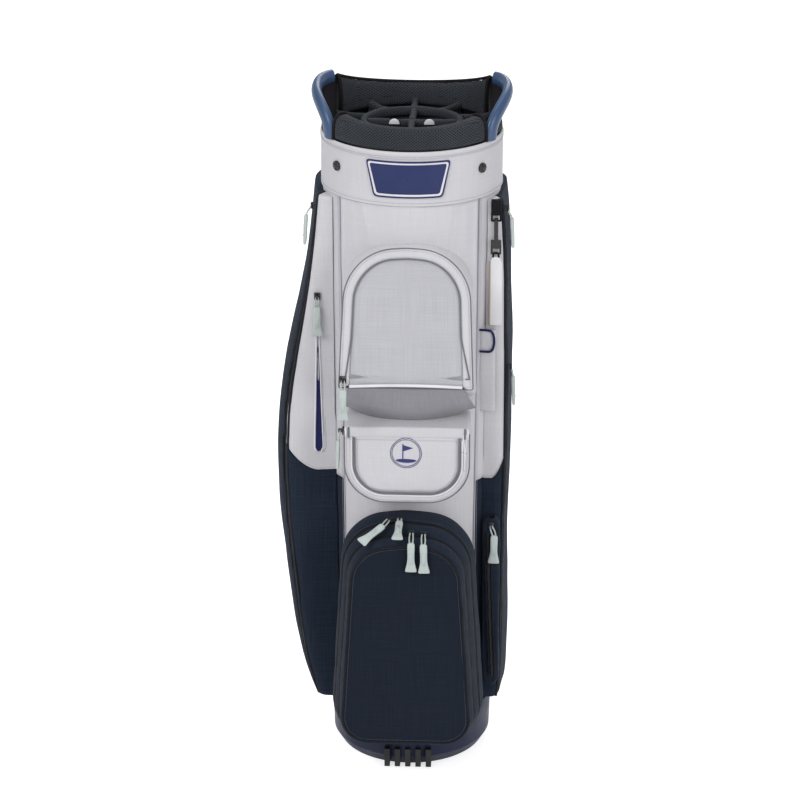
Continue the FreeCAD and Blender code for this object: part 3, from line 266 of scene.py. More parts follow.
def piece(name, verts, faces, material, body, slot, replaces=(), smooth=True, uv=None):
    """A mesh from millimetres, riding on a body; uv gives the cloth's own metres per vertex."""
    mesh = bpy.data.meshes.new(name)
    verts = np.asarray(verts, float) * MM
    mesh.from_pydata(verts.tolist(), [], [list(map(int, face)) for face in faces])
    mesh.validate()
    mesh.update()
    layer = mesh.uv_layers.new(name="cloth")
    normals = [polygon.normal for polygon in mesh.polygons]
    for polygon, normal in zip(mesh.polygons, normals):
        main = max(range(3), key=lambda axis: abs(normal[axis]))
        pair = {0: (1, 2), 1: (0, 2), 2: (0, 1)}[main]
        for loop in polygon.loop_indices:
            index = mesh.loops[loop].vertex_index
            place = uv[index] if uv is not None else [verts[index][axis] for axis in pair]
            layer.data[loop].uv = place
        polygon.use_smooth = smooth
    thing = bpy.data.objects.new(name, mesh)
    bpy.context.collection.objects.link(thing)
    mesh.materials.append(MATERIALS[material])
    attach(thing, body)
    if replaces:
        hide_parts(*([replaces] if isinstance(replaces, str) else replaces))
    return thing


def modify(thing, kind, **settings):
    modifier = thing.modifiers.new(kind.lower(), kind)
    for key, value in settings.items():
        setattr(modifier, key, value)
    return modifier


def thicken(thing, thickness, subdivide=1, offset=-1.0):
    """A cloth's thickness in millimetres, then smooth subdivision."""
    if thickness:
        modify(thing, "SOLIDIFY", thickness=thickness * MM, offset=offset)
    if subdivide:
        modify(thing, "SUBSURF", levels=subdivide, render_levels=subdivide)
    return thing


def grid_faces(rows, columns, closed=False, first=0):
    """Quads between rows of points; closed joins each row's end to its start."""
    faces = []
    for r in range(rows - 1):
        for c in range(columns if closed else columns - 1):
            d = (c + 1) % columns
            a = first + r * columns
            faces.append((a + c, a + d, a + columns + d, a + columns + c))
    return faces


def arc_uv(rows):
    """Cloth coordinates of a grid: distance along its middle row and down its middle column."""
    rows = np.asarray(rows)
    middle_row, middle_column = rows[len(rows) // 2], rows[:, rows.shape[1] // 2]
    along = np.concatenate([[0], np.cumsum(np.linalg.norm(np.diff(middle_row, axis=0), axis=1))])
    down = np.concatenate([[0], np.cumsum(np.linalg.norm(np.diff(middle_column, axis=0), axis=1))])
    u, v = np.meshgrid(along, down)
    return np.stack([u.ravel(), v.ravel()], axis=1) * MM


def sheet_piece(name, rows, material, body, slot, closed=False, arc=False, **rest):
    """A piece from a grid of points, rows first."""
    rows = np.asarray(rows, float)
    faces = grid_faces(rows.shape[0], rows.shape[1], closed)
    uv = arc_uv(rows) if arc else None
    return piece(name, rows.reshape(-1, 3), faces, material, body, slot, uv=uv, **rest)


def ruffle(thing, amount, size, stretch=(1, 1, 1), seed=0.0, keep=None):
    """Moves a mesh in and out along its normals by smooth noise; keep(x, y, z) scales it."""
    mesh = thing.data
    normals = [vertex.normal.copy() for vertex in mesh.vertices]
    for vertex, normal in zip(mesh.vertices, normals):
        x, y, z = (c / MM for c in vertex.co)
        place = Vector((x * stretch[0], y * stretch[1], z * stretch[2])) / size
        push = noise.fractal(place + Vector((seed, seed * 2.3, -seed)), 1.0, 2.0, 3)
        scale = keep(x, y, z) if keep else 1.0
        vertex.co += normal * push * amount * scale * MM


def tube(name, points, radius, material, body, slot, closed=False, sides=8, **rest):
    """A round cord of mesh that follows points."""
    points = np.asarray(points, float)
    count = len(points)
    ahead = np.roll(points, -1, axis=0) - np.roll(points, 1, axis=0)
    if not closed:
        ahead[0], ahead[-1] = points[1] - points[0], points[-1] - points[-2]
    ahead = unit(ahead)
    normal = np.array([0.0, 0.0, 1.0]) if abs(ahead[0][2]) < 0.9 else np.array([1.0, 0.0, 0.0])
    verts = []
    for place, way in zip(points, ahead):
        normal = unit(normal - way * normal.dot(way))
        side = np.cross(way, normal)
        for i in range(sides):
            a = TAU * i / sides
            verts.append(place + radius * (math.cos(a) * normal + math.sin(a) * side))
    faces = []
    for r in range(count if closed else count - 1):
        s = (r + 1) % count
        for c in range(sides):
            d = (c + 1) % sides
            faces.append((r * sides + c, r * sides + d, s * sides + d, s * sides + c))
    if not closed:
        faces.append(tuple(range(sides))[::-1])
        faces.append(tuple((count - 1) * sides + i for i in range(sides)))
    return piece(name, verts, faces, material, body, slot, **rest)


def resample(points, step, closed=False):
    """Points at an even step along a path, with the way ahead at each."""
    points = np.asarray(points, float)
    if closed:
        points = np.vstack([points, points[:1]])
    lengths = np.concatenate([[0], np.cumsum(np.linalg.norm(np.diff(points, axis=0), axis=1))])
    count = max(2, int(round(lengths[-1] / step)))
    at = np.linspace(0, lengths[-1], count, endpoint=not closed)
    places = np.stack([np.interp(at, lengths, points[:, i]) for i in range(3)], axis=1)
    ahead = np.stack([np.interp(at + 0.5, lengths, points[:, i]) for i in range(3)], axis=1)
    back = np.stack([np.interp(at - 0.5, lengths, points[:, i]) for i in range(3)], axis=1)
    return places, unit(ahead - back)


def blocks(name, places, along, outward, size, material, body, slot, **rest):
    """Many small rounded blocks in one mesh: stitches or zip teeth. Size: long, wide, high."""
    long, wide, high = (s / 2 for s in size)
    shape = []
    for lengthwise, narrow in ((-1, 0.45), (-0.6, 1), (0.6, 1), (1, 0.45)):
        for i in range(6):
            a = TAU * i / 6
            shape.append((lengthwise * long, math.cos(a) * wide * narrow, math.sin(a) * high * narrow))
    shape = np.array(shape)
    local = grid_faces(4, 6, True) + [tuple(range(6))[::-1], tuple(range(18, 24))]
    verts, faces = [], []
    outward = np.broadcast_to(np.asarray(outward, float), np.shape(places))
    for place, ahead, out in zip(places, along, outward):
        side = unit(np.cross(out, ahead))
        out = np.cross(ahead, side)
        first = len(verts)
        verts.extend(place + shape @ np.stack([ahead, side, out]))
        faces.extend(tuple(first + v for v in face) for face in local)
    return piece(name, verts, faces, material, body, slot, **rest)


def stitches(name, path, outward, material, body, slot, pitch=3.2, closed=False, lift=0.15):
    """A line of thread stitches on a cloth, standing slightly proud of it."""
    places, along = resample(path, pitch, closed)
    if callable(outward):
        outward = np.array([outward(place) for place in places])
    out = unit(np.broadcast_to(np.asarray(outward, float), places.shape))
    return blocks(name, places + out * lift, along, out, (pitch * 0.66, 0.7, 0.5), material, body, slot)


# ---- reading the frame's surfaces ----------------------------------------------------------
def tree_of(*nodes):
    """A search tree of these nodes' faces, in millimetres."""
    verts, faces = [], []
    for node in nodes:
        mesh = frame["nodes"][node].data
        first = len(verts)
        verts += [tuple(c / MM for c in vertex.co) for vertex in mesh.vertices]
        faces += [tuple(first + v for v in polygon.vertices) for polygon in mesh.polygons]
    return BVHTree.FromPolygons(verts, faces)


def skin_point(tree, target, way, reach=400.0):
    """Where a ray from outside, towards a target, first meets the surface, or None."""
    way = Vector(way).normalized()
    hit = tree.ray_cast(Vector(target) + way * reach, -way, reach)[0]
    return None if hit is None else np.array(hit)


def even(points, count, closed=False):
    """The same path with its points evenly spaced."""
    points = np.asarray(points, float)
    if closed:
        points = np.vstack([points, points[:1]])
    steps = np.linalg.norm(np.diff(points, axis=0), axis=1)
    lengths = np.concatenate([[0], np.cumsum(steps)])
    at = np.linspace(0, lengths[-1], count, endpoint=not closed)
    return np.stack([np.interp(at, lengths, points[:, i]) for i in range(3)], axis=1)


def outline_at(tree, centre, u, v, angles, count, closed=False):
    """The surface's outline round a centre, in the plane of u and v, evenly spaced."""
    u, v = np.array(u, float), np.array(v, float)
    found = []
    for a in np.radians(angles):
        point = skin_point(tree, centre, u * math.cos(a) + v * math.sin(a))
        if point is not None:
            found.append(point)
    return even(found, count, closed)


def fill(outline, puff, steps, spread=2.0, centre=None):
    """Rows from an outline in to its middle, standing proud by puff, like a stuffed panel."""
    outline = np.asarray(outline, float)
    centre = outline.mean(axis=0) if centre is None else np.asarray(centre, float)
    rows = []
    for i in range(steps + 1):
        s = (1 - i / steps) ** 0.85
        rows.append(centre + (outline - centre) * max(s, 0.002) + np.asarray(puff) * (1 - s ** spread))
    return np.array(rows)


def inset(outline, amount, normal):
    """A closed outline drawn in by a distance, in the plane across a normal."""
    outline = np.asarray(outline, float)
    way = unit(np.roll(outline, -1, axis=0) - np.roll(outline, 1, axis=0))
    inward = np.cross(np.asarray(normal, float), way)
    centre = outline.mean(axis=0)
    if np.mean(np.einsum("ij,ij->i", inward, centre - outline)) < 0:
        inward = -inward
    return outline + inward * amount


def zip_chain(name, path, outward, body, material, slot, pitch=2.4, width=4.6, teeth="teeth",
              tape=9.0, closed=False):
    """A zip: its tape, and a coil of teeth in two interlocked rows along the middle."""
    places, along = resample(path, pitch / 2, closed)
    if callable(outward):
        out = np.array([outward(place) for place in places])
    else:
        out = np.broadcast_to(np.asarray(outward, float), places.shape)
    out = unit(out - along * np.einsum("ij,ij->i", out, along)[:, None])
    side = np.cross(out, along)
    turn = np.where(np.arange(len(places)) % 2 == 0, 1.0, -1.0)[:, None]
    blocks(name + "_teeth", places + side * turn * width * 0.2 + out * 0.6, side, out,
           (width * 0.62, pitch * 0.52, 1.5), teeth, body, slot)
    rows = np.array([places[::2] + side[::2] * w + out[::2] * h for w, h in
                     ((-tape / 2, 0.0), (-width / 2, 0.35), (0, 0.1), (width / 2, 0.35), (tape / 2, 0.0))])
    return sheet_piece(name + "_tape", rows, material, body, slot, arc=True)


# ---- stage, lights and camera --------------------------------------------------------------
FLOOR_REACH, FLOOR_GLOW = 12.0, 0.68
WORLD_LIGHT = 0.5
LAMPS = (("key", (-1.7, -2.6, 2.6), 1.6, 50), ("fill", (2.2, -2.4, 1.5), 1.8, 33),
         ("top", (0.0, 0.1, 3.0), 1.6, 14), ("back", (0.4, 2.2, 2.2), 1.5, 24))


def make_stage():
    """A plain pale floor; the camera sees it close to white, with the object's shadow."""
    n = Nodes("studio_white", 0.9)
    n.put(n.shader, "Base Color", srgb(232, 232, 235))
    ray = n.add("LightPath")
    mirrored = n.math("MAXIMUM", ray.outputs["Is Glossy Ray"], ray.outputs["Is Transmission Ray"])
    shows = n.math("MAXIMUM", ray.outputs["Is Camera Ray"], mirrored)
    n.put(n.shader, "Emission Color", (1, 1, 1, 1))
    n.put(n.shader, "Emission Strength", n.math("MULTIPLY", shows, FLOOR_GLOW))
    mesh = bpy.data.meshes.new("floor")
    reach = FLOOR_REACH
    mesh.from_pydata([(-reach, -reach, -0.001), (reach, -reach, -0.001), (reach, reach, -0.001),
                      (-reach, reach, -0.001)], [], [(0, 1, 2, 3)])
    mesh.materials.append(n.material)
    floor = bpy.data.objects.new("floor", mesh)
    bpy.context.collection.objects.link(floor)


def make_lights():
    """An even white world, seen as white, and four soft lamps round the front."""
    world = bpy.data.worlds.new("studio")
    bpy.context.scene.world = world
    world.use_nodes = True
    tree = world.node_tree
    ray = tree.nodes.new("ShaderNodeLightPath")
    background = tree.nodes["Background"]
    background.inputs["Color"].default_value = (1, 1, 1, 1)
    strength = tree.nodes.new("ShaderNodeMapRange")
    strength.inputs["To Min"].default_value = WORLD_LIGHT
    strength.inputs["To Max"].default_value = 1.0
    tree.links.new(ray.outputs["Is Camera Ray"], strength.inputs["Value"])
    tree.links.new(strength.outputs["Result"], background.inputs["Strength"])
    for name, place, size, power in LAMPS:
        lamp = bpy.data.lights.new(name, "AREA")
        lamp.energy = power
        lamp.size = size
        thing = bpy.data.objects.new(name, lamp)
        thing.location = place
        aim = Vector((0, 0, 0.5)) - thing.location
        thing.rotation_euler = aim.to_track_quat("-Z", "Y").to_euler()
        bpy.context.collection.objects.link(thing)
    bpy.context.scene.view_settings.view_transform = "Standard"


def make_camera():
    """The photograph's view: from 4.2 m in front, 2.13 m up, pitched down, a little from the right."""
    away, height, turn, pitch = 4.2, 2.13, math.radians(2.7), math.radians(21.57)
    data = bpy.data.cameras.new("camera")
    data.sensor_width = 36.0
    data.lens = 3494 / 800 * 36.0
    data.shift_x = -12 / 800
    data.clip_end = 50
    thing = bpy.data.objects.new("camera", data)
    thing.location = (away * math.sin(turn), -away * math.cos(turn), height)
    thing.rotation_euler = (math.pi / 2 - pitch, 0, turn)
    bpy.context.collection.objects.link(thing)
    bpy.context.scene.camera = thing


# ---- trunk ---------------------------------------------------------------------------------
TRUNK = tree_of("front_panel", "rear_panel", "left_side_panel", "right_side_panel", "lower_side_panels")
FRONT, LEFT_SEAM, RIGHT_SEAM = 270.0, 219.0, 321.0
REAR_SEAMS = (125.0, 55.0)


def trunk_halves(z):
    """The trunk's half width and half depth at a height."""
    low, high = box_mm("front_panel")[0][2] + 2, box_mm("front_panel")[1][2] - 2
    z = min(max(z, low), high)
    halves = []
    for way in ((1, 0, 0), FORWARD):
        point = skin_point(TRUNK, (0, 0, z), way)
        halves.append(float(np.linalg.norm(point[:2])))
    return halves


TRUNK_LEVELS = {z: trunk_halves(z) for z in (70, 380, 764)}


def trunk_point(angle, z, out=0.0):
    """A point of the trunk's oval skin, at an angle from +X, and how far off the skin."""
    zs = sorted(TRUNK_LEVELS)
    half_width = np.interp(z, zs, [TRUNK_LEVELS[k][0] for k in zs]) + out
    half_depth = np.interp(z, zs, [TRUNK_LEVELS[k][1] for k in zs]) + out
    a = math.radians(angle)
    return np.array([half_width * math.cos(a), half_depth * math.sin(a), z])


def trunk_panel(name, angle0, angle1, z0, z1, material, slot, node, columns, relief=None, **rest):
    """One cloth panel of the trunk; relief(angle, z) adds folds and pleats in millimetres."""
    levels = max(6, int((z1 - z0) / 7))
    rows = []
    for z in np.linspace(z0, z1, levels):
        rows.append([trunk_point(a, z, relief(a, z) if relief else 0.0)
                     for a in np.linspace(angle0, angle1, columns)])
    thing = sheet_piece(name, rows, material, "bag", slot, arc=True, replaces=node, **rest)
    thicken(thing, 1.6, 0)
    return thing


def front_relief(angle, z):
    """Soft folds above the upper pocket, a slight hollow along the middle, pleats at the seams."""
    off = angle - FRONT
    top = np.clip((z - 640) / 130, 0, 1)
    folds = 0.0
    for lean, place, depth in ((0.10, -31, 1.0), (0.05, -40, 0.8), (-0.12, 30, 1.0), (-0.05, 41, 0.9)):
        ridge = off - place + lean * (z - 767)
        folds += depth * math.exp(-(ridge / 2.4) ** 2) * top
    for seam in (LEFT_SEAM, RIGHT_SEAM):
        near = abs(angle - seam)
        folds += 1.3 * math.exp(-((near - 3.0) / 1.3) ** 2) - 1.0 * math.exp(-(near / 1.1) ** 2)
    wave = noise.noise(Vector((angle * 0.06, z * 0.011, 3.1))) * 1.1
    return 0.3 + folds + wave


def plain_relief(seed, amount=1.2):
    def relief(angle, z):
        return 0.2 + amount * noise.noise(Vector((angle * 0.05, z * 0.008, seed)))
    return relief


def make_trunk():
    low, high = box_mm("front_panel")[0][2], box_mm("front_panel")[1][2]
    split = box_mm("left_side_panel")[0][2]
    trunk_panel("front_cloth", LEFT_SEAM, RIGHT_SEAM, low, high, "light", "light_fabric", "front_panel",
                90, front_relief)
    trunk_panel("left_side_cloth", REAR_SEAMS[0], LEFT_SEAM, split, high, "light", "light_fabric",
                "left_side_panel", 50, plain_relief(7.0))
    trunk_panel("right_side_cloth", RIGHT_SEAM - 360, REAR_SEAMS[1], split, high, "light", "light_fabric",
                "right_side_panel", 50, plain_relief(9.0))
    trunk_panel("rear_cloth", REAR_SEAMS[1], REAR_SEAMS[0], low, high, "navy", "navy_fabric", "rear_panel",
                50, plain_relief(4.0, 2.0))
    lower = trunk_panel("lower_left_cloth", REAR_SEAMS[0], LEFT_SEAM, low, split, "navy", "navy_fabric",
                        "lower_side_panels", 50, plain_relief(2.0))
    trunk_panel("lower_right_cloth", RIGHT_SEAM - 360, REAR_SEAMS[1], low, split, "navy", "navy_fabric",
                "lower_side_panels", 50, plain_relief(5.0))
    for name, angle, z0 in (("left_front", LEFT_SEAM, low), ("right_front", RIGHT_SEAM, low),
                            ("left_rear", REAR_SEAMS[0], low), ("right_rear", REAR_SEAMS[1], low)):
        rear = name.endswith("rear")
        path = [trunk_point(angle, z, 0.4) for z in np.linspace(z0, high, 60)]
        tube(name + "_seam", path, 0.9, "piping" if rear else "thread_light", "bag",
             "navy_fabric" if rear else "light_fabric", sides=6)
        for side in (-1.6, 1.6):
            line = [trunk_point(angle + side, z, 1.1) for z in np.linspace(z0, high, 60)]
            stitches(f"{name}_stitch_{'a' if side < 0 else 'b'}", line, lambda p: (p[0], p[1], 0),
                     "thread_dark" if rear else "thread_light", "bag",
                     "navy_fabric" if rear else "light_fabric", 3.4)
    return lower


# ---- cuff ----------------------------------------------------------------------------------
CUFF_LOW, CUFF_HIGH = box_mm("cuff_band")


def cuff_point(angle, z, out=0.0):
    a = math.radians(angle)
    return np.array([(CUFF_HIGH[0] + out) * math.cos(a), (CUFF_HIGH[1] + out) * math.sin(a), z])


def make_cuff():
    """The cloth band round the top, with a rolled hem and a turned-in lower edge."""
    z0, z1 = CUFF_LOW[2], CUFF_HIGH[2]
    thick = 2.6
    profile = [(-thick, z0 + 1), (-1.4, z0 - 0.8), (0.2, z0 - 0.4), (0.9, z0 + 0.8), (0.4, z0 + 2.6),
               (0.0, z0 + 3.4), (0.5, z0 + 5.5)]
    profile += [(0.35, z) for z in np.linspace(z0 + 9, z1 - 13, 12)]
    profile += [(0.5, z1 - 9), (0.1, z1 - 7.4), (0.9, z1 - 5.6), (1.3, z1 - 3.2), (0.9, z1 - 1.0),
                (-0.4, z1 + 0.1), (-1.6, z1 - 0.5), (-thick, z1 - 2.6), (-thick, z1 - 12)]
    angles = np.linspace(0, 360, 260, endpoint=False)
    rows = []
    for out, z in profile:
        row = []
        for angle in angles:
            turn = math.radians(angle)
            wave = 0.5 * noise.noise(Vector((math.cos(turn) * 3, math.sin(turn) * 3, z * 0.02)))
            row.append(cuff_point(angle, z, out + (wave if z0 + 6 < z < z1 - 8 else 0)))
        rows.append(row)
    thing = sheet_piece("cuff_cloth", rows, "light", "bag", "light_fabric", closed=True, arc=True,
                        replaces="cuff_band")
    modify(thing, "SUBSURF", levels=1, render_levels=1)

    def radial(place):
        return place[0], place[1] * 1.1, 0
    for name, z, out in (("hem_stitch_upper", z1 - 6.6, 0.75), ("hem_stitch_lower", z1 - 8.8, 0.65),
                         ("cuff_foot_stitch", z0 + 3.6, 0.5)):
        line = [cuff_point(a, z, out) for a in np.linspace(0, 360, 300, endpoint=False)]
        stitches(name, line, radial, "thread_light", "bag", "light_fabric", 3.0, True)


def make_badge():
    """A moulded trapezoid badge: navy edge, light band and a bare navy field."""
    low, high = box_mm("cuff_badge")
    z0, z1 = low[2], high[2]
    half_top, half_low, corner = high[0], high[0] * 88 / 108, 5.0

    def face(inset_by, out):
        points = [(-half_low, z0), (half_low, z0), (half_top, z1), (-half_top, z1)]
        ring = []
        for i, point in enumerate(points):
            point = np.array(point, float)
            before = unit(np.array(points[i - 1], float) - point)
            after = unit(np.array(points[(i + 1) % 4], float) - point)
            middle = unit(before + after)
            reach = max(corner - inset_by * 0.5, 1.5)
            spot = point + middle * inset_by * 1.35
            for t in np.linspace(0, 1, 7):
                bend = (1 - t) ** 2 * before + t ** 2 * after
                ring.append(spot + bend * reach)
        placed = []
        for x, _, z in even([(x, 0, z) for x, z in ring], 140, True):
            depth = -math.sqrt(max(0, 1 - (x / CUFF_HIGH[0]) ** 2)) * CUFF_HIGH[1]
            placed.append((x, depth - out, z))
        return np.array(placed)
    layers = [("badge_edge", "badge_navy", [(0.0, 0.3), (0.1, 2.6), (0.5, 3.1), (1.9, 3.1), (2.3, 2.4)]),
              ("badge_band", "badge_light", [(2.0, 2.3), (2.2, 2.9), (4.6, 2.9), (4.9, 2.3)]),
              ("badge_field", "badge_navy", [(4.7, 2.2), (4.9, 3.0), (5.5, 3.2)])]
    for name, material, profile in layers:
        rows = [face(inset_by, out) for inset_by, out in profile]
        if name == "badge_field":
            last = rows[-1]
            middle = last.mean(axis=0)
            for s in (0.8, 0.6, 0.4, 0.2, 0.02):
                shrunk = middle + (last - middle) * s
                shrunk[:, 1] = -np.sqrt(1 - (shrunk[:, 0] / CUFF_HIGH[0]) ** 2) * CUFF_HIGH[1] - 3.2
                rows.append(shrunk)
        sheet_piece(name, rows, material, "bag", "badge", closed=True, replaces="cuff_badge")


STUD_PROFILE = ((6.4, 0.0), (6.5, 1.2), (6.0, 2.2), (5.2, 2.4), (4.4, 1.4), (3.8, 1.2), (3.2, 3.0), (2.5, 3.9),
                (1.4, 4.2), (0.05, 4.2))


def make_studs():
    """Two snap studs: a ring, a dished cap and a small post."""
    for side, name in ((-1, "left"), (1, "right")):
        low, high = box_mm("snap_studs")
        z = (low[2] + high[2]) / 2
        x = side * (high[0] - 4.2)
        y = -math.sqrt(1 - (x / CUFF_HIGH[0]) ** 2) * CUFF_HIGH[1]
        out = unit((x / CUFF_HIGH[0] ** 2, y / CUFF_HIGH[1] ** 2, 0))
        across = np.cross((0, 0, 1), out)
        up = np.array([0, 0, 1.0])
        rows = []
        for radius, height in STUD_PROFILE:
            ring = [np.array([x, y, z]) + out * (height + 0.9)
                    + radius * (math.cos(a) * across + math.sin(a) * up)
                    for a in np.linspace(0, TAU, 28, endpoint=False)]
            rows.append(ring)
        sheet_piece(name + "_stud", rows, "black", "bag", "black_plastic", closed=True, replaces="snap_studs")


# ---- padded rim ----------------------------------------------------------------------------
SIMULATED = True


def stuff(thing, voxel=4.5, pressure=4.0, cap=5.0, frames=16, shrink=0.8):
    """Inflates a closed piece of padding as sewn cloth, by no more than cap millimetres a point."""
    mesh = thing.data
    for vertex, normal in [(v, v.normal.copy()) for v in mesh.vertices]:
        vertex.co -= normal * shrink * MM
    bpy.context.view_layer.objects.active = thing
    for other in bpy.context.selected_objects:
        other.select_set(False)
    thing.select_set(True)
    modify(thing, "REMESH", mode="VOXEL", voxel_size=voxel * MM, use_smooth_shade=True)
    bpy.ops.object.modifier_apply(modifier=thing.modifiers[-1].name)
    if SIMULATED:
        before = [vertex.co.copy() for vertex in thing.data.vertices]
        cloth_modifier = thing.modifiers.new("stuffing", "CLOTH")
        settings = cloth_modifier.settings
        settings.quality = 6
        settings.mass = 0.25
        settings.use_pressure = True
        settings.uniform_pressure_force = pressure
        settings.tension_stiffness = settings.compression_stiffness = 30
        settings.shear_stiffness = 12
        settings.bending_stiffness = 1.5
        settings.effector_weights.gravity = 0
        cloth_modifier.point_cache.frame_start = 1
        cloth_modifier.point_cache.frame_end = frames
        scene = bpy.context.scene
        for step in range(1, frames + 1):
            scene.frame_set(step)
        bpy.ops.object.modifier_apply(modifier="stuffing")
        scene.frame_set(1)
        for vertex, start in zip(thing.data.vertices, before):
            move = vertex.co - start
            if move.length > cap * MM:
                vertex.co = start + move.normalized() * cap * MM
    modify(thing, "SMOOTH", factor=0.5, iterations=3)
    bpy.ops.object.modifier_apply(modifier=thing.modifiers[-1].name)
    layer = thing.data.uv_layers.get("cloth") or thing.data.uv_layers.new(name="cloth")
    for polygon in thing.data.polygons:
        main = max(range(3), key=lambda axis: abs(polygon.normal[axis]))
        pair = {0: (1, 2), 1: (0, 2), 2: (0, 1)}[main]
        for loop in polygon.loop_indices:
            co = thing.data.vertices[thing.data.loops[loop].vertex_index].co
            layer.data[loop].uv = (co[pair[0]], co[pair[1]])
    modify(thing, "SUBSURF", levels=1, render_levels=1)
    return thing


def rim_section(angle, thickness, height, lean=0.0, fullness=2.5, count=18, foot=None):
    """A padded section that stands on the cuff at an angle: outer foot, crest, inner foot."""
    base = CUFF_HIGH[2] if foot is None else foot
    points = []
    for i in range(count + 1):
        a = math.pi * i / count
        c, s = math.cos(a), math.sin(a)
        across = math.copysign(abs(c) ** (2 / fullness), c)
        z = base + height * max(s, 0) ** (2 / fullness)
        out = -0.5 - thickness / 2 + across * thickness / 2 + lean * (z - base) / height
        points.append(cuff_point(angle, z, out))
    return points


def rim_pad(name, node, angle0, angle1, thickness, height_at, material, steps=70, lean=0.0, sim=True):
    rows = []
    for t in np.linspace(-1, 1, steps + 1):
        angle = angle0 + (angle1 - angle0) * (t + 1) / 2
        rows.append(rim_section(angle, thickness, height_at(t), lean))
    rows = np.array(rows)
    count = rows.shape[1]
    faces = grid_faces(rows.shape[0], count, True)
    faces += [tuple(range(count))[::-1], tuple((rows.shape[0] - 1) * count + i for i in range(count))]
    thing = piece(name, rows.reshape(-1, 3), faces, material, "bag", "mesh", replaces=node)
    if sim:
        stuff(thing, 4.0, 3.0, 2.0)
    return rows


ROLL_THICKNESS, ROLL_DIP, ROLL_RISE = 25.5, 3.5, 5.5
WALL_THICKNESS, WALL_MIDDLE_HEIGHT, SIDE_PAD_THICKNESS = 12.0, 30.0, 11.0


def binding(name, section, radius, body="bag", slot="mesh"):
    """A bound edge: cloth tape folded over a seam."""
    path = even(section, 40)
    tube(name, path, radius, "binding", body, slot, sides=10)


def make_rim():
    """The soft front roll, the raised back wall with its bound edges, and the low side pads."""
    roll_high = box_mm("rim_roll")[1]
    foot = CUFF_HIGH[2]
    crest = roll_high[2] - foot
    end = math.degrees(math.asin(min(1, (roll_high[0] / CUFF_HIGH[0]))))
    roll = rim_pad("front_roll", "rim_roll", 270 - end, 270 + end, ROLL_THICKNESS,
                   lambda t: crest - ROLL_DIP + ROLL_RISE * t * t, "mesh")
    for side, index in (("left", 0), ("right", -1)):
        binding(side + "_roll_binding", roll[index], 2.3)
        section = even(roll[index], 24)
        middle = section.mean(axis=0)
        rows = [section, middle + (section - middle) * 0.6, middle + (section - middle) * 0.02]
        sheet_piece(side + "_roll_end", rows, "binding", "bag", "mesh", closed=True)
    wall_high = box_mm("rim_wall")[1]
    middle, ends = WALL_MIDDLE_HEIGHT, wall_high[2] - foot
    half = math.degrees(math.asin(min(1, wall_high[0] / CUFF_HIGH[0])))
    wall = rim_pad("back_wall", "rim_wall", 90 - half, 90 + half, WALL_THICKNESS,
                   lambda t: middle - 0.5 + (ends - middle - 0.5) * t * t, "mesh")
    crest_line = np.array([row[len(row) // 2] for row in wall]) + (0, 0, 0.6)
    tube("wall_top_binding", even(crest_line, 90), 1.9, "binding", "bag", "mesh", sides=10)
    for side, index in (("left", -1), ("right", 0)):
        binding(side + "_wall_binding", wall[index], 2.2)
        section = even(wall[index], 24)
        centre = section.mean(axis=0)
        sheet_piece(side + "_wall_end", [section, centre + (section - centre) * 0.02], "binding", "bag",
                    "mesh", closed=True)
    for side, sign in (("left", -1), ("right", 1)):
        top = cuff_point(90 - sign * half, foot + ends - 1.5, -5)
        low = cuff_point(90 - sign * (half + 3), foot + 1, -7)
        reach = np.array([sign * 121.0, 26.0, foot + ends - 9.0])
        foot_out = np.array([sign * 103.5, -16.0, foot + 8.0])
        wing = []
        for t in np.linspace(0, 1, 14):
            inner, outer = low + (top - low) * t, foot_out + (reach - foot_out) * t
            bow = np.array([sign * 1.0, -0.4, 0]) * 3.0 * math.sin(math.pi * t)
            wing.append([inner + (outer - inner) * s - bow * math.sin(math.pi * s)
                         for s in np.linspace(0, 1, 12)])
        thicken(sheet_piece(side + "_wall_wing", wing, "binding", "bag", "mesh"), 2.4, 1, 0.0)
    seam = [cuff_point(a, foot + 13.5, -12.6) for a in np.linspace(90 - half + 2, 90 + half - 2, 90)]
    tube("wall_seam", seam, 0.7, "binding", "bag", "mesh", sides=6)
    height = box_mm("rim_side_pads")[1][2] - foot
    for name, a0, a1 in (("right", end - 90 + 0.6, 90 - half - 0.6),
                         ("left", 90 + half + 0.6, 270 - end - 0.6)):
        rim_pad(name + "_side_pad", "rim_side_pads", a0, a1, SIDE_PAD_THICKNESS, lambda t: height - 0.4,
                "mesh", 26)


# ---- club divider --------------------------------------------------------------------------
def padded_bar(name, start, end, width, height, node, sag=1.2, material="mesh"):
    """A cloth-wrapped divider arm between two points, thicker at its ends, on its own foot."""
    start, end = np.array(start, float), np.array(end, float)
    ahead = unit(end - start)
    side = np.cross((0, 0, 1), ahead)
    rows = []
    for t in np.linspace(0, 1, 15):
        centre = start + (end - start) * t
        swell = 1 + 0.16 * (2 * t - 1) ** 2
        ring = []
        for a in np.linspace(0, TAU, 20, endpoint=False):
            c, s = math.cos(a), math.sin(a)
            across = math.copysign(abs(c) ** 0.75, c) * width / 2 * swell
            up = math.copysign(abs(s) ** 0.8, s) * height / 2
            lift = height / 2 + up - sag * math.sin(math.pi * t) * (s > 0)
            ring.append(centre + side * across + np.array([0, 0, lift]))
        rows.append(ring)
    rows = np.array(rows)
    faces = grid_faces(15, 20, True) + [tuple(range(20))[::-1], tuple(14 * 20 + i for i in range(20))]
    thing = piece(name, rows.reshape(-1, 3), faces, material, "bag", "mesh", replaces=node)
    ruffle(thing, 0.8, 14, seed=float(len(name)))
    modify(thing, "SUBSURF", levels=1, render_levels=1)
    return thing


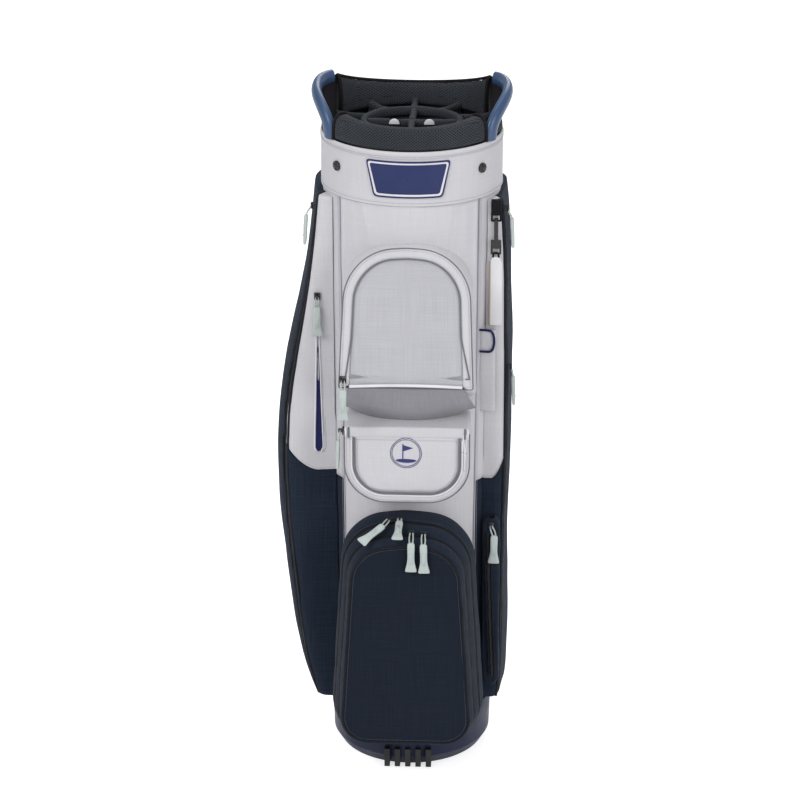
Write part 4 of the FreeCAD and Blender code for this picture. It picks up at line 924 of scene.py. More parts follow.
def make_divider():
    high = box_mm("divider_ring")[1]
    half_width, half_depth = high[0], high[1]
    foot, top = CUFF_HIGH[2], high[2]
    pad, spoke_width = 9.0, 8.0
    angles = np.linspace(0, TAU, 120, endpoint=False)
    rows = []
    for i in range(18):
        a = TAU * i / 18
        c, s = math.cos(a), math.sin(a)
        out = -pad / 2 + math.copysign(abs(c) ** 0.8, c) * pad / 2
        z = (foot + top) / 2 + math.copysign(abs(s) ** 0.85, s) * (top - foot) / 2
        rows.append([((half_width + out) * math.cos(b), (half_depth + out) * math.sin(b), z) for b in angles])
    rows.append(rows[0])
    ring = sheet_piece("divider_ring_pad", rows, "mesh", "bag", "mesh", closed=True, arc=True,
                       replaces="divider_ring")
    ruffle(ring, 0.7, 22)

    count = 10
    for i in range(count):
        b = math.radians(90 + 360 * i / count)
        way = np.array([math.cos(b), math.sin(b)])
        inner = 1 / math.hypot(way[0] / half_width, way[1] / half_depth)
        pads = 12.5 if way[1] > 0 else 25.5
        outer = 1 / math.hypot(way[0] / (CUFF_HIGH[0] - pads), way[1] / (CUFF_HIGH[1] - pads))
        if outer - inner < 4:
            continue
        padded_bar(f"spoke_{i + 1}", (*(way * (inner - 1.5)), foot), (*(way * (outer + 1.5)), foot),
                   spoke_width, top - foot - 1, "divider_spokes")
    hole_width, hole_depth = half_width - pad + 1.5, half_depth - pad + 1.5
    padded_bar("cross_arm", (-hole_width, 0, foot), (hole_width, 0, foot), spoke_width, top - foot - 1,
               "divider_spokes")
    for name, side in (("rear", 1), ("front", -1)):
        padded_bar(name + "_arm", (0, side * 3.2, foot), (0, side * hole_depth, foot), spoke_width,
                   top - foot - 1, "divider_spokes")

    z0 = box_mm("divider_tube")[0][2]
    z1 = foot - 0.5
    rows = []
    for z in np.linspace(z0, z1, 26):
        row = []
        for b in angles[::2]:
            wave = 0.8 * noise.noise(Vector((math.cos(b) * 2, math.sin(b) * 2, z * 0.02)))
            row.append(((half_width - 0.6 + wave) * math.cos(b), (half_depth - 0.6) * math.sin(b), z))
        rows.append(row)
    tube_cloth = sheet_piece("divider_sleeve", rows, "sleeve", "bag", "mesh", closed=True, arc=True,
                             replaces="divider_tube")
    thicken(tube_cloth, 1.2, 0)
    walls = []
    for i in range(count):
        b = math.radians(90 + 360 * i / count)
        way = np.array([math.cos(b), math.sin(b)])
        inner = 1 / math.hypot(way[0] / half_width, way[1] / half_depth) + 0.4
        walls.append((way, inner, None))
    walls += [(np.array([1.0, 0.0]), -half_width + 2.2, half_width - 2.2),
              (np.array([0.0, 1.0]), 1.4, half_depth - 2.4), (np.array([0.0, -1.0]), 1.4, half_depth - 2.4)]
    for index, (way, near, far) in enumerate(walls):
        side = np.array([-way[1], way[0]])
        rows = []
        for z in np.linspace(z0, z1, 22):
            if far is None:
                wide, deep = trunk_halves_inside(z)
                reach = 1 / math.hypot(way[0] / wide, way[1] / deep)
            else:
                reach = far
            row = []
            for t in np.linspace(0, 1, 9):
                belly = math.sin(math.pi * t) * math.sin(math.pi * (z - z0) / (z1 - z0)) * 3.0
                belly *= math.sin(index * 2.4 + z * 0.012)
                spot = way * (near + (reach - near) * t) + side * belly
                row.append((*spot, z))
            rows.append(row)
        wall = sheet_piece(f"divider_wall_{index + 1}", rows, "sleeve", "bag", "liner_plastic", arc=True,
                           replaces="divider_walls")
        thicken(wall, 1.2, 0, 0.0)

    for side, name in ((-1, "left"), (1, "right")):
        x, y = side * 22.0, -spoke_width / 2 - 1.2
        rows = []
        for depth, radius in ((0.0, 6.3), (-0.3, 6.6), (-1.8, 6.6), (-2.1, 6.2), (-2.1, 0.05)):
            rows.append([(x + radius * math.cos(a), y + depth, top - 6.6 + radius * max(0, math.sin(a)))
                         for a in np.linspace(0, math.pi, 20)])
        sheet_piece(name + "_tab", rows, "tab", "bag", "mesh", replaces="divider_ring")


def trunk_halves_inside(z):
    """The clear half width and half depth inside the liner or the top frame at a height."""
    if z > box_mm("top_frame")[0][2]:
        return CUFF_HIGH[0] - 8.6, CUFF_HIGH[1] - 8.6
    wide, deep = trunk_point(0, z)[0], trunk_point(90, z)[1]
    return wide - 6.2, deep - 6.2


# ---- insulated front pocket ----------------------------------------------------------------
SWEEP = np.linspace(-90.5, 269.5, 361)[:-1]
RING = 240


def front_outline(tree, centre, y, grow=0.0):
    """A front pocket's closed outline at a depth, seen from the front, from its lowest middle."""
    ring = outline_at(tree, (centre[0], y, centre[1]), (1, 0, 0), (0, 0, 1), SWEEP, RING, True)
    return inset(ring, -grow, FORWARD) if grow else ring


def at_depth(ring, y):
    ring = np.array(ring, float)
    ring[:, 1] = y
    return ring


def pocket_shell(name, rows, material, body, slot, node=None, rough=0.8, seed=0.0, smooth_levels=0):
    """One cloth shell from closed outlines, back to front, softened by uneven slack."""
    rest = {"replaces": node} if node else {}
    thing = sheet_piece(name, rows, material, body, slot, closed=True, **rest)
    if rough:
        ruffle(thing, rough, 55, seed=seed)
    if smooth_levels:
        modify(thing, "SUBSURF", levels=smooth_levels, render_levels=smooth_levels)
    return thing


def piping(name, ring, material, body, slot, radius=1.5, closed=True, flange=True, normal=FORWARD):
    """A covered cord along a seam; with flange, a line of stitches where its flat flange is sewn down."""
    ring = even(ring, max(60, len(ring)), closed)
    tube(name, ring, radius, material, body, slot, closed=closed, sides=10)
    if flange:
        shifted = inset(ring, radius * 1.9, normal) if closed else ring
        stitches(name + "_stitch", shifted + np.asarray(normal) * 0.5, normal, "thread_dark", body, slot,
                 3.2, closed)


def front_face(name, ring, puff, material, body, slot, node=None, rough=1.0, seed=0.0, y=None, steps=22):
    """A stuffed front panel inside an outline."""
    ring = np.asarray(ring, float)
    centre = (ring.min(axis=0) + ring.max(axis=0)) / 2
    rows = fill(ring, (0, -puff, 0), steps, 3.0, centre)
    if y is not None:
        rows[:, :, 1] += y - rows[0, :, 1].mean()
    rest = {"replaces": node} if node else {}
    thing = sheet_piece(name, rows, material, body, slot, closed=True, **rest)
    if rough:
        edge = ring
        half = (edge.max(axis=0) - edge.min(axis=0)) / 2

        def keep(x, _, z):
            across = max(abs(x - centre[0]) / half[0], abs(z - centre[2]) / half[2])
            return max(0.0, 1 - across ** 6)
        ruffle(thing, rough, 70, (1, 1, 0.7), seed, keep)
    return thing


def make_cooler():
    """A deep navy pocket in two zipped layers, each with a piped front edge."""
    body_low, body_high = box_mm("cooler_body")
    panel_low, ball_low = box_mm("cooler_panel")[0], box_mm("ball_panel")[0]
    middle = (0.0, (body_low[2] + body_high[2]) * 0.46)
    body_tree, panel_tree, ball_tree = tree_of("cooler_body"), tree_of("cooler_panel"), tree_of("ball_panel")
    y0, y1 = -106.0, body_low[1]
    back = front_outline(body_tree, middle, y0)
    front = front_outline(body_tree, middle, y1 + 0.6)
    rows = [back + (front - back) * t + (0, 0, 0) for t in np.linspace(0, 1, 9)]
    swell = [0.0, 0.6, 1.1, 1.4, 1.4, 1.1, 0.7, 0.3, 0.0]
    rows = [inset(row, -s, FORWARD) for row, s in zip(rows, swell)]
    rows += [inset(at_depth(front, y1 - 0.2), 1.2, FORWARD), inset(at_depth(front, y1 + 0.2), 7.0, FORWARD),
             inset(at_depth(front, y1 + 6), 8.0, FORWARD)]
    pocket_shell("cooler_wall", rows, "navy", "bag", "navy_fabric", "cooler_body", 0.9, 1.0)
    piping("cooler_edge", at_depth(inset(front, 0.3, FORWARD), y1 + 0.5), "piping", "bag", "navy_fabric",
           1.7, normal=FORWARD, flange=False)
    stitches("cooler_edge_stitch", at_depth(inset(front, -0.9, FORWARD), y1 + 5.0),
             lambda p: (p[0], 0, p[2] - middle[1]), "thread_dark", "bag", "navy_fabric", 3.2, True)
    lining = tree_of("cooler_liner")
    inner = outline_at(lining, (0, y1 + 3, middle[1]), (1, 0, 0), (0, 0, 1), SWEEP, RING, True)
    rows = [at_depth(inner, y1 + 1.0), at_depth(inset(inner, 3.2, FORWARD), y1 + 1.0),
            at_depth(inset(inner, 3.6, FORWARD), y1 + 12), at_depth(inset(inner, 3.4, FORWARD), y0 - 2.8)]
    rows += list(fill(rows[-1], (0, 1.0, 0), 8))[1:]
    pocket_shell("cooler_foil", rows, "foil", "bag", "foam", "cooler_liner", 0.6, 3.0)

    for kind, tree, low, body, seed in (("cooler", panel_tree, panel_low, "cooler_front", 5.0),
                                        ("ball", ball_tree, ball_low, "ball_flap", 8.0)):
        node = kind + "_panel"
        near = box_mm(node)[1][1]
        far = low[1]
        start = front_outline(tree, middle, near - 0.4)
        end = front_outline(tree, middle, far + 0.6)
        rows = [inset(at_depth(start, near + 0.2), 7.0, FORWARD), at_depth(inset(start, 0.8, FORWARD), near)]
        rows += [inset(start + (end - start) * t, -s, FORWARD)
                 for t, s in zip(np.linspace(0.03, 0.94, 7), (0.2, 0.9, 1.3, 1.4, 1.2, 0.8, 0.2))]
        if kind == "cooler":
            rows += [at_depth(inset(end, 1.4, FORWARD), far + 0.1), at_depth(inset(end, 8.0, FORWARD), far),
                     at_depth(inset(end, 8.6, FORWARD), far + 5.0)]
            rows += list(fill(rows[-1], (0, 0.5, 0), 10))[1:]
        else:
            rows += [at_depth(inset(end, 1.6, FORWARD), far + 0.1),
                     at_depth(inset(end, 2.2, FORWARD), far + 0.4)]
        pocket_shell(kind + "_front_wall", rows, "navy", body, "navy_fabric", node, 0.7, seed)
        piping(kind + "_front_near_edge", at_depth(inset(start, 0.4, FORWARD), near), "piping", body,
               "navy_fabric", 1.5, flange=False)
        piping(kind + "_front_far_edge", at_depth(inset(end, 0.6, FORWARD), far + 0.6), "piping", body,
               "navy_fabric", 1.8, flange=kind == "ball")
        if kind == "ball":
            face_ring = at_depth(inset(end, 2.0, FORWARD), far + 0.2)
            front_face("ball_front_face", face_ring, 4.0, "deep", body, "navy_fabric", node, 1.1, 2.0)
        track = at_depth(inset(start, 1.6, FORWARD), near + 1.1)
        lowest = int(np.argmin(track[:, 2]))
        track = np.roll(track, -lowest, axis=0)
        skip = int(len(track) * 0.12)
        zip_chain(kind + "_zip_coil", track[skip:-skip], lambda p: (p[0], -60.0, p[2] - middle[1]), body,
                  "tape", "zip_tape", 2.4, 4.4, "teeth", 7.0)
        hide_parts(kind + "_zip")


# ---- upper front pocket --------------------------------------------------------------------
def trunk_y(x, z):
    """How far forward the trunk's skin lies at a place across and a height."""
    wide, deep = trunk_point(0, z)[0], trunk_point(90, z)[1]
    return -deep * math.sqrt(max(0.0, 1 - (x / wide) ** 2))


def lowest_first(ring):
    """The same closed ring, started at its lowest middle point."""
    ring = np.asarray(ring)
    score = ring[:, 2] * 4 + np.abs(ring[:, 0])
    return np.roll(ring, -int(np.argmin(score)), axis=0)


def spanned(ring, up, low, high, count=60, columns=56, drop=1.8, out=FORWARD, puff=2.0):
    """Rows straight across a closed ring from one height along up to another, with rounded edges."""
    ring = np.asarray(ring, float)
    up, out = unit(up), unit(out)
    heights = ring @ up
    right, left = ring[:, 0] >= 0, ring[:, 0] < 0
    order_r, order_l = np.argsort(heights[right]), np.argsort(heights[left])
    base = ring.mean(axis=0)
    rows = []
    for share in np.sin(np.linspace(-math.pi / 2, math.pi / 2, count)) / 2 + 0.5:
        height = low + (high - low) * share
        x0 = np.interp(height, heights[left][order_l], ring[left][order_l][:, 0])
        x1 = np.interp(height, heights[right][order_r], ring[right][order_r][:, 0])
        row = []
        for s in np.sin(np.linspace(-math.pi / 2, math.pi / 2, columns)):
            spot = base + up * (height - base @ up)
            spot = spot + np.array([1.0, 0, 0]) * ((x0 + x1) / 2 + s * (x1 - x0) / 2 - spot[0])
            edge = min(1.0, min(share, 1 - share) * 2 * 6) * min(1.0, (1 - abs(s)) * 7)
            belly = (1 - s ** 4) * (1 - (2 * share - 1) ** 4)
            row.append(spot + out * (puff * belly - drop * (1 - edge) ** 2))
        rows.append(row)
    return np.array(rows)


def make_valuables():
    """A light pocket with a sloped front: a zipped ripstop panel over an underside drawn in painted shade."""
    flap_low, flap_high = box_mm("valuables_flap")
    body_low, body_high = box_mm("valuables_body")
    tree = tree_of("valuables_body")
    lip = np.array([0.0, body_low[1], flap_low[2] - 3.0])
    crest_y = skin_point(tree, (0, 0, body_high[2] - 4), FORWARD)[1]
    top = np.array([0.0, crest_y, body_high[2] - 4])
    up = unit(top - lip)
    out = np.cross(up, (1.0, 0.0, 0.0))
    out = -out if out[1] > 0 else out
    middle = lip + up * 78 - out * 1.4
    front = outline_at(tree, middle, (1, 0, 0), up, SWEEP, RING, True)
    front = lowest_first(front) + out * 1.2
    back = outline_at(tree, (0, -118, 602), (1, 0, 0), (0, 0, 1), SWEEP, RING, True)
    back = lowest_first(back)
    back[:, 1] = [trunk_y(x, z) + 1.5 for x, _, z in back]
    rows = []
    for t in np.linspace(0, 1, 9):
        row = back + (front - back) * t
        rows.append(inset(row, -1.0 * math.sin(math.pi * t), out))
    foot = (front @ up) < lip @ up + 14
    for amount, height in ((0.6, 0.9), (2.0, 1.3), (7.0, 1.6), (11.0, 1.2), (12.6, 0.3), (13.0, -1.6)):
        row = inset(front, amount, out)
        row -= up * np.where(foot, np.maximum(0, (row - front) @ up), 0)[:, None]
        rows.append(row + out * height)
    shell = pocket_shell("valuables_shell", rows, "light", "bag", "light_fabric", "valuables_body", 0.7, 11.0)
    modify(shell, "SUBSURF", levels=1, render_levels=1)
    tube("valuables_outer_seam", inset(front, 0.0, out) + out * 1.0, 0.8, "grey_piping", "bag",
         "light_fabric", closed=True, sides=8)
    band = inset(front, 3.0, out) + out * 1.9
    stitches("valuables_band_stitch", band, out, "thread_light", "bag", "light_fabric", 3.0, True)

    track = inset(front, 13.2, out)
    track = track[track[:, 2] > flap_low[2] + 8] - out * 0.6
    zip_chain("valuables_zip_coil", track, out, "bag", "light_tape", "light_fabric", 2.0, 3.2, "light_teeth",
              5.0)
    ring = inset(front, 13.2, out) + out * 1.6
    bottom = float(lip @ up) + 1.5
    top_level = float((ring @ up).max()) - 0.4
    rows = spanned(ring, up, bottom, top_level, out=out, puff=2.4)
    flap = sheet_piece("valuables_front", rows, "panel", "valuables_flap", "grey_fabric", arc=True,
                       replaces="valuables_flap")
    ruffle(flap, 1.5, 60, (1, 1, 1.2), 4.0, lambda x, y, z: 1.0 if abs(x) < 62 else 0.2)
    thicken(flap, 1.4)
    sides = np.abs(ring[:, 0]) > ring[:, 0].max() - 6
    arch = (ring + out * 0.6)[(ring @ up > bottom + 1) & (sides | (ring @ up > bottom + 60))]
    start = int(np.argmax(np.linalg.norm(np.diff(np.vstack([arch, arch[:1]]), axis=0), axis=1))) + 1
    tube("valuables_arch_piping", even(np.roll(arch, -start, axis=0), 220), 0.9, "grey_piping",
         "valuables_flap", "grey_fabric", sides=8)
    half = flap_high[0] - 1.0
    lip_path = []
    for x in np.linspace(-half, half, 60):
        rise = 2.2 * math.sin(math.pi * (x + half) / (2 * half) * 0.9)
        lip_path.append(lip + np.array([x, 0, 0]) + out * 3.0 + up * (1.2 + rise))
    tube("valuables_lip_piping", lip_path, 1.9, "light_piping", "bag", "grey_fabric", sides=12)

    rows = []
    wide_top, wide_low = flap_high[0] - 1, body_high[0] - 1
    for t in np.linspace(0, 1, 16):
        row = []
        for s in np.linspace(-1, 1, 80):
            x = s * (wide_top + (wide_low - wide_top) * t)
            low_z = body_low[2] - 4.5 + 9.0 * abs(s) ** 2.2
            top_z = lip[2] + 1.0 + 2.2 * (1 - s * s)
            z = top_z + (low_z - top_z) * t
            skin = min(trunk_y(x, z), body_high[1]) - 2.0
            y = lip[1] - 1.0 + (skin - 5.0 - lip[1]) * t ** 0.9
            pleat = 0.35 * math.sin(x * 1.3) * math.sin(math.pi * t)
            row.append((x, min(y, skin) - 2.0 * math.sin(math.pi * t) + pleat, z))
        rows.append(row)
    # The underside and its seam use the darker 'shade' cloth: painted shade for the face that looks down under
    # the lip.
    under = sheet_piece("valuables_underside", rows, "shade", "bag", "grey_fabric", arc=True)
    thicken(under, 1.4)
    seam = np.array(rows[-1])
    tube("valuables_under_seam", seam + (0, -0.8, -0.4), 1.2, "shade", "bag", "grey_fabric", sides=8)


# ---- lower front pocket --------------------------------------------------------------------
def make_utility():
    """A flat light pocket that opens along a U of piping and coil zip, with a round emblem."""
    flap_low, flap_high = box_mm("utility_flap")
    body_low, body_high = box_mm("utility_body")
    tree = tree_of("utility_body")
    middle_z = (body_low[2] + body_high[2]) / 2
    out = np.array([0.0, -1.0, 0.0])
    front = outline_at(tree, (0, body_low[1] + 1.0, middle_z), (1, 0, 0), (0, 0, 1), SWEEP, RING, True)
    front = lowest_first(at_depth(front, body_low[1]))
    back = np.array(front)
    back[:, 1] = [trunk_y(x, z) + 1.5 for x, _, z in back]
    rows = []
    for t in np.linspace(0, 1, 8):
        rows.append(inset(back + (front - back) * t, -0.9 * math.sin(math.pi * t), out))
    for amount, height in ((0.5, 0.8), (1.8, 1.2), (5.0, 1.4), (9.0, 1.2), (11.2, 0.2), (11.8, -1.8)):
        rows.append(inset(front, amount, out) + out * height)
    shell = pocket_shell("utility_shell", rows, "light", "bag", "light_fabric", "utility_body", 0.6, 21.0)
    modify(shell, "SUBSURF", levels=1, render_levels=1)
    top_cut = flap_high[2] - 1

    def open_u(ring, cut):
        """The part of a ring under a height, from one end of the U to the other."""
        highest = int(np.argmax(ring[:, 2] * 4 - np.abs(ring[:, 0])))
        ring = np.roll(ring, -highest, axis=0)
        return ring[ring[:, 2] < cut]
    tube("utility_outer_seam", open_u(inset(front, 0.2, out) + out * 0.9, top_cut + 8), 0.9, "grey_piping",
         "bag", "light_fabric", sides=8)
    stitches("utility_outer_stitch", open_u(inset(front, 3.2, out) + out * 1.9, top_cut + 6), out,
             "thread_light", "bag", "light_fabric", 3.0)
    tube("utility_zip_piping", even(open_u(inset(front, 9.2, out) + out * 1.6, top_cut), 120), 1.3,
         "light_piping", "bag", "light_fabric", sides=10)
    zip_chain("utility_zip_coil", open_u(inset(front, 12.0, out) + out * 0.2, top_cut), out, "bag",
              "light_tape", "light_fabric", 2.0, 3.2, "light_teeth", 5.0)
    for step, sway in ((5.6, 0.0), (7.4, 0.6)):
        fold = [np.array([body_high[0] - step, body_low[1] - 1.6 - sway, z]) for z in
                np.linspace(middle_z - 6, body_high[2] - 8, 20)]
        fold = [p + (1.4 * math.sin((p[2] - middle_z) * 0.06 + step), 0, 0) for p in fold]
        tube(f"utility_gusset_fold_{int(step)}", fold, 1.0, "light_piping", "bag", "light_fabric", sides=8)
    tack = [np.array([x, body_low[1] - 2.6, middle_z + 17 - (x - body_high[0]) * 0.25]) for x in
            np.linspace(body_high[0] - 12, body_high[0] - 4, 8)]
    stitches("utility_bar_tack", tack, out, "thread_dark", "bag", "light_fabric", 0.9)

    top = float(front[:, 2].max()) - 0.6
    hinge = flap_high[2] - 0.5
    ring = inset(front, 12.8, out) + out * 1.7
    straight = ring[(ring[:, 2] < hinge) | (np.abs(ring[:, 0]) > ring[:, 0].max() - 3)]
    corner_x = straight[:, 0].max()
    tall = np.vstack([straight, [(side * corner_x, ring[0, 1], top) for side in (-1, 1)]])
    rows = spanned(tall, (0, 0, 1), float(ring[:, 2].min()) + 0.3, hinge, puff=2.2)
    flap = sheet_piece("utility_front", rows, "light", "utility_flap", "light_fabric", arc=True,
                       replaces="utility_flap")
    ruffle(flap, 1.2, 46, (1, 1, 1), 14.0, lambda x, y, z: 1.0 if abs(x) < 52 else 0.2)
    thicken(flap, 1.4)
    rows = [[(x, ring[0, 1] + dy, z) for x in np.linspace(-corner_x, corner_x, 50)]
            for dy, z in ((1.6, hinge - 1.5), (0.1, hinge + 0.6), (-0.1, (hinge + top) / 2), (0.0, top - 0.8),
                          (0.5, top), (6.0, top + 1.0))]
    head = sheet_piece("utility_head", rows, "light", "bag", "light_fabric", arc=True)
    thicken(head, 1.2)
    tube("utility_front_piping", even(open_u(ring + out * 0.6, hinge), 160), 1.1,
         "grey_piping", "utility_flap", "light_fabric", sides=8)
    for side, sign in (("left", -1), ("right", 1)):
        for offset, radius, name in ((0.0, 1.1, "inner"), (3.7, 1.3, "zip")):
            x = sign * (corner_x + offset)
            post = [(x, ring[0, 1] - 0.6, hinge - 1), (x, ring[0, 1] - 0.7, (hinge + top) / 2),
                    (x, ring[0, 1], top)]
            material = "light_piping" if name == "zip" else "grey_piping"
            tube(f"utility_{name}_post_{side}", post, radius, material, "bag", "light_fabric")
    stitches("utility_front_stitch", open_u(inset(front, 16.6, out) + out * 2.6, hinge - 2), out,
             "thread_light", "utility_flap", "light_fabric", 3.0)
    make_emblem(np.array([-1.0, flap_low[1], middle_z + 17]), flap)


def make_emblem(centre, cloth_piece):
    """A printed round emblem: two fine rings round a plain flag on a green."""
    surface = BVHTree.FromPolygons([vertex.co / MM for vertex in cloth_piece.data.vertices],
                                   [tuple(p.vertices) for p in cloth_piece.data.polygons])

    def laid(points, lift=0.35):
        placed = []
        for x, z in points:
            hit = surface.ray_cast(Vector((x, -400, z)), Vector((0, 1, 0)))[0]
            placed.append((x, (hit.y if hit else centre[1]) - lift, z))
        return placed
    x0, z0 = centre[0], centre[2]
    turn = np.linspace(0, TAU, 90, endpoint=False)
    for name, radius in (("outer", 19.6), ("inner", 17.7)):
        points = [(x0 + radius * math.cos(a), z0 + radius * math.sin(a)) for a in turn]
        tube(f"emblem_{name}_ring", laid(points, 0.2), 0.42, "print_navy", "utility_flap", "badge",
             closed=True, sides=6)
    flag = [(-3.4, 11.0), (9.4, 7.2), (-3.4, 2.8)]
    pole = [(-4.6, 12.6), (-3.2, 12.6), (-3.2, -9.0), (-4.6, -9.0)]
    green = [(13.0 * math.cos(a), -9.5 - 3.4 * math.sin(a)) for a in np.linspace(0, math.pi, 24)]
    green += [(13.0 * math.cos(a), -9.5 + 2.0 * math.sin(a)) for a in np.linspace(math.pi, 0, 24)]
    for name, shape in (("flag", flag), ("pole", pole), ("green", green)):
        dense = even([(x, 0, z) for x, z in shape], 72, True)
        middle = dense.mean(axis=0)
        rows = []
        for s, lift in ((1.0, 0.1), (0.97, 0.4), (0.7, 0.4), (0.4, 0.4), (0.02, 0.4)):
            points = middle + (dense - middle) * s
            rows.append(laid([(x0 + x, z0 + z) for x, _, z in points], lift))
        sheet_piece("emblem_" + name, rows, "print_navy", "utility_flap", "badge", closed=True, smooth=False)


# ---- side pockets --------------------------------------------------------------------------
SIDE_ROOT_X, SIDE_MIDDLE_Y = 74.0, 10.0
ZIP_PLANE_Y = -45.0
SIDE_LOW, SIDE_HIGH = 71.0, 761.0
SIDES = {"left": -1, "right": 1}
SIDE_TREES = {side: tree_of(side + "_pocket_gusset", side + "_pocket_door") for side in SIDES}


def side_section(side, z):
    """A side pocket's outline at a height, from its front root round to its back root."""
    sign, tree, found = SIDES[side], SIDE_TREES[side], []
    z = min(max(z, SIDE_LOW), SIDE_HIGH)
    for a in np.radians(np.linspace(-84, 84, 169)):
        ahead = (sign * math.cos(a), math.sin(a), 0)
        point = skin_point(tree, (sign * SIDE_ROOT_X, SIDE_MIDDLE_Y, z), ahead, 250)
        if point is not None:
            found.append(point)
    return np.array(found)


def split_at_zip(section):
    """The section's part in front of the zip plane, and the part behind it."""
    behind = int(np.argmax(section[:, 1] > ZIP_PLANE_Y))
    a, b = section[behind - 1], section[behind]
    seam = a + (b - a) * (ZIP_PLANE_Y - a[1]) / (b[1] - a[1])
    return np.vstack([section[:behind], seam]), np.vstack([seam, section[behind:]])


def capped(rows, side):
    """Rows closed at both ends by drawing them in to the trunk."""
    core = np.array([SIDES[side] * SIDE_ROOT_X, SIDE_MIDDLE_Y, 0.0])
    first, last = rows[0], rows[-1]

    def drawn(row, share):
        flat = core + (0, 0, row[:, 2].mean())
        return flat + (row - flat) * share
    soft = 0.985
    first_soft, last_soft = drawn(first, soft) - (0, 0, 0.8), drawn(last, soft) + (0, 0, 0.8)
    return np.array([drawn(first, 0.35), first_soft, *rows, last_soft, drawn(last, 0.35)])


def side_rows(side, part, levels, columns):
    """Rows of the gusset (part 0) or the door (part 1) at these heights."""
    return np.array([even(split_at_zip(side_section(side, z))[part], columns) for z in levels])


def colour_line(side, share):
    """The height at which the gusset turns from light cloth, above, to navy."""
    low, high = ((392.0, 426.0), (384.0, 418.0))[side == "right"]
    return low + (high - low) * max(0.0, (share - 0.35) / 0.65) ** 1.6


def make_gusset(side):
    columns = 34
    shares = np.linspace(0, 1, columns)
    levels = np.linspace(SIDE_LOW, SIDE_HIGH, 150)
    grid = side_rows(side, 0, levels, columns)

    def at(z):
        return np.array([[np.interp(z[c], levels, grid[:, c, i]) for i in range(3)] for c in range(columns)])
    lines = [colour_line(side, s) for s in shares]
    low = np.array([at([SIDE_LOW + (lines[c] - SIDE_LOW) * t for c in range(columns)])
                    for t in np.linspace(0, 1, 60)])
    high = np.array([at([lines[c] + (SIDE_HIGH - lines[c]) * t for c in range(columns)])
                     for t in np.linspace(0, 1, 70)])
    slot, node = "navy_fabric", f"{side}_pocket_gusset"
    navy = sheet_piece(f"{side}_gusset_low", capped(low, side)[:-2], "navy", "bag", slot, replaces=node)
    ruffle(navy, 1.6, 60, (1, 1, 0.6), 3.0, lambda x, y, z: min(1.0, abs(y + 40) / 6))
    light = sheet_piece(f"{side}_gusset_high", capped(high, side)[2:], "light", "bag", "light_fabric",
                        replaces=node)
    ruffle(light, 1.0, 80, (1, 1, 0.5), 5.0, lambda x, y, z: min(1.0, abs(y + 40) / 6))
    for thing in (navy, light):
        thicken(thing, 1.2)
    seam = low[-1] + (0, -0.7, 0)
    tube(f"{side}_colour_seam", seam, 0.7, "piping", "bag", slot)
    stitches(f"{side}_colour_stitch", seam + (0, -0.3, 4.0), FORWARD, "thread_light", "bag", slot)


def make_door(side):
    sign = SIDES[side]
    levels = np.concatenate([np.linspace(SIDE_LOW, 110, 8)[:-1], np.linspace(110, SIDE_HIGH, 110)])
    rows = side_rows(side, 1, levels, 60)
    door = sheet_piece(f"{side}_door_cloth", capped(rows, side), "navy", f"{side}_door", "navy_fabric",
                       replaces=f"{side}_pocket_door")

    def keep(x, y, z):
        return min(1.0, (y - ZIP_PLANE_Y) / 14) * min(1.0, max(0.0, 70 - y) / 14 + 0.2)
    ruffle(door, 3.2, 95, (1, 0.8, 0.55), 8.0 + sign, keep)
    thicken(door, 1.2)
    zip_line = even(rows[:, 0], 260)
    outward = np.array([sign * 0.55, -0.83, 0.0])
    edge = even(rows[:, 2], 260)
    tube(f"{side}_door_piping", edge + outward * 0.9, 1.9, "piping", f"{side}_door", "navy_fabric")
    stitches(f"{side}_door_stitch", even(rows[:, 5], 260) + (sign * 0.6, -0.3, 0), (sign, 0, 0),
             "thread_dark", f"{side}_door", "navy_fabric", 3.2)
    front = even(side_rows(side, 0, levels, 60)[:, -5], 260)
    tube(f"{side}_gusset_piping", front + outward * 0.9, 1.9, "piping", "bag", "navy_fabric")
    zip_chain(f"{side}_side_zip", zip_line + outward * 0.5, outward, "bag", "tape", "zip_tape", 2.6, 3.8,
              "teeth", 7.0).data.name = f"{side}_zip_tape"
    seam_back = even(rows[:, -14], 200)
    tube(f"{side}_door_back_seam", seam_back + (sign * 0.3, 0.5, 0), 0.8, "piping", f"{side}_door",
         "navy_fabric")


def make_slash():
    """A zipped slot in the light gusset, with a dark lining that shows, and light piping."""
    tree = tree_of("left_pocket_gusset", "slash_welt")
    middle = -117.0

    def on_skin(x, z, lift):
        point = skin_point(tree, (x, 0, z), FORWARD, 200)
        return np.array([x, (point[1] if point is not None else -53.0) - lift, z])

    def half_width(z):
        t = (z - 417.0) / (636.0 - 417.0)
        return 5.6 * (1 - 0.6 * max(0.0, t) ** 1.1) * min(1.0, math.sqrt(max(0.01, min(t * 30, 1.02 - t))))
    heights = np.linspace(418.5, 635.0, 90)
    rows = [[on_skin(middle + half_width(z) * s, z, 0.5 - 0.9 * (1 - s * s)) for s in np.linspace(-1, 1, 9)]
            for z in heights]
    sheet_piece("slash_opening", rows, "lining", "bag", "navy_fabric", replaces="slash_welt")
    sides = [[on_skin(middle + half_width(z) * s, z, 1.0) for z in heights] for s in (-1, 1)]
    tube("slash_piping_left", sides[0], 1.2, "light_piping", "bag", "light_fabric")
    tube("slash_piping_right", sides[1], 0.9, "light_piping", "bag", "light_fabric")
    line = [on_skin(middle + half_width(z) + 4.0, z, 0.6) for z in heights]
    stitches("slash_stitch", line, FORWARD, "thread_dark", "bag", "light_fabric", 3.4)


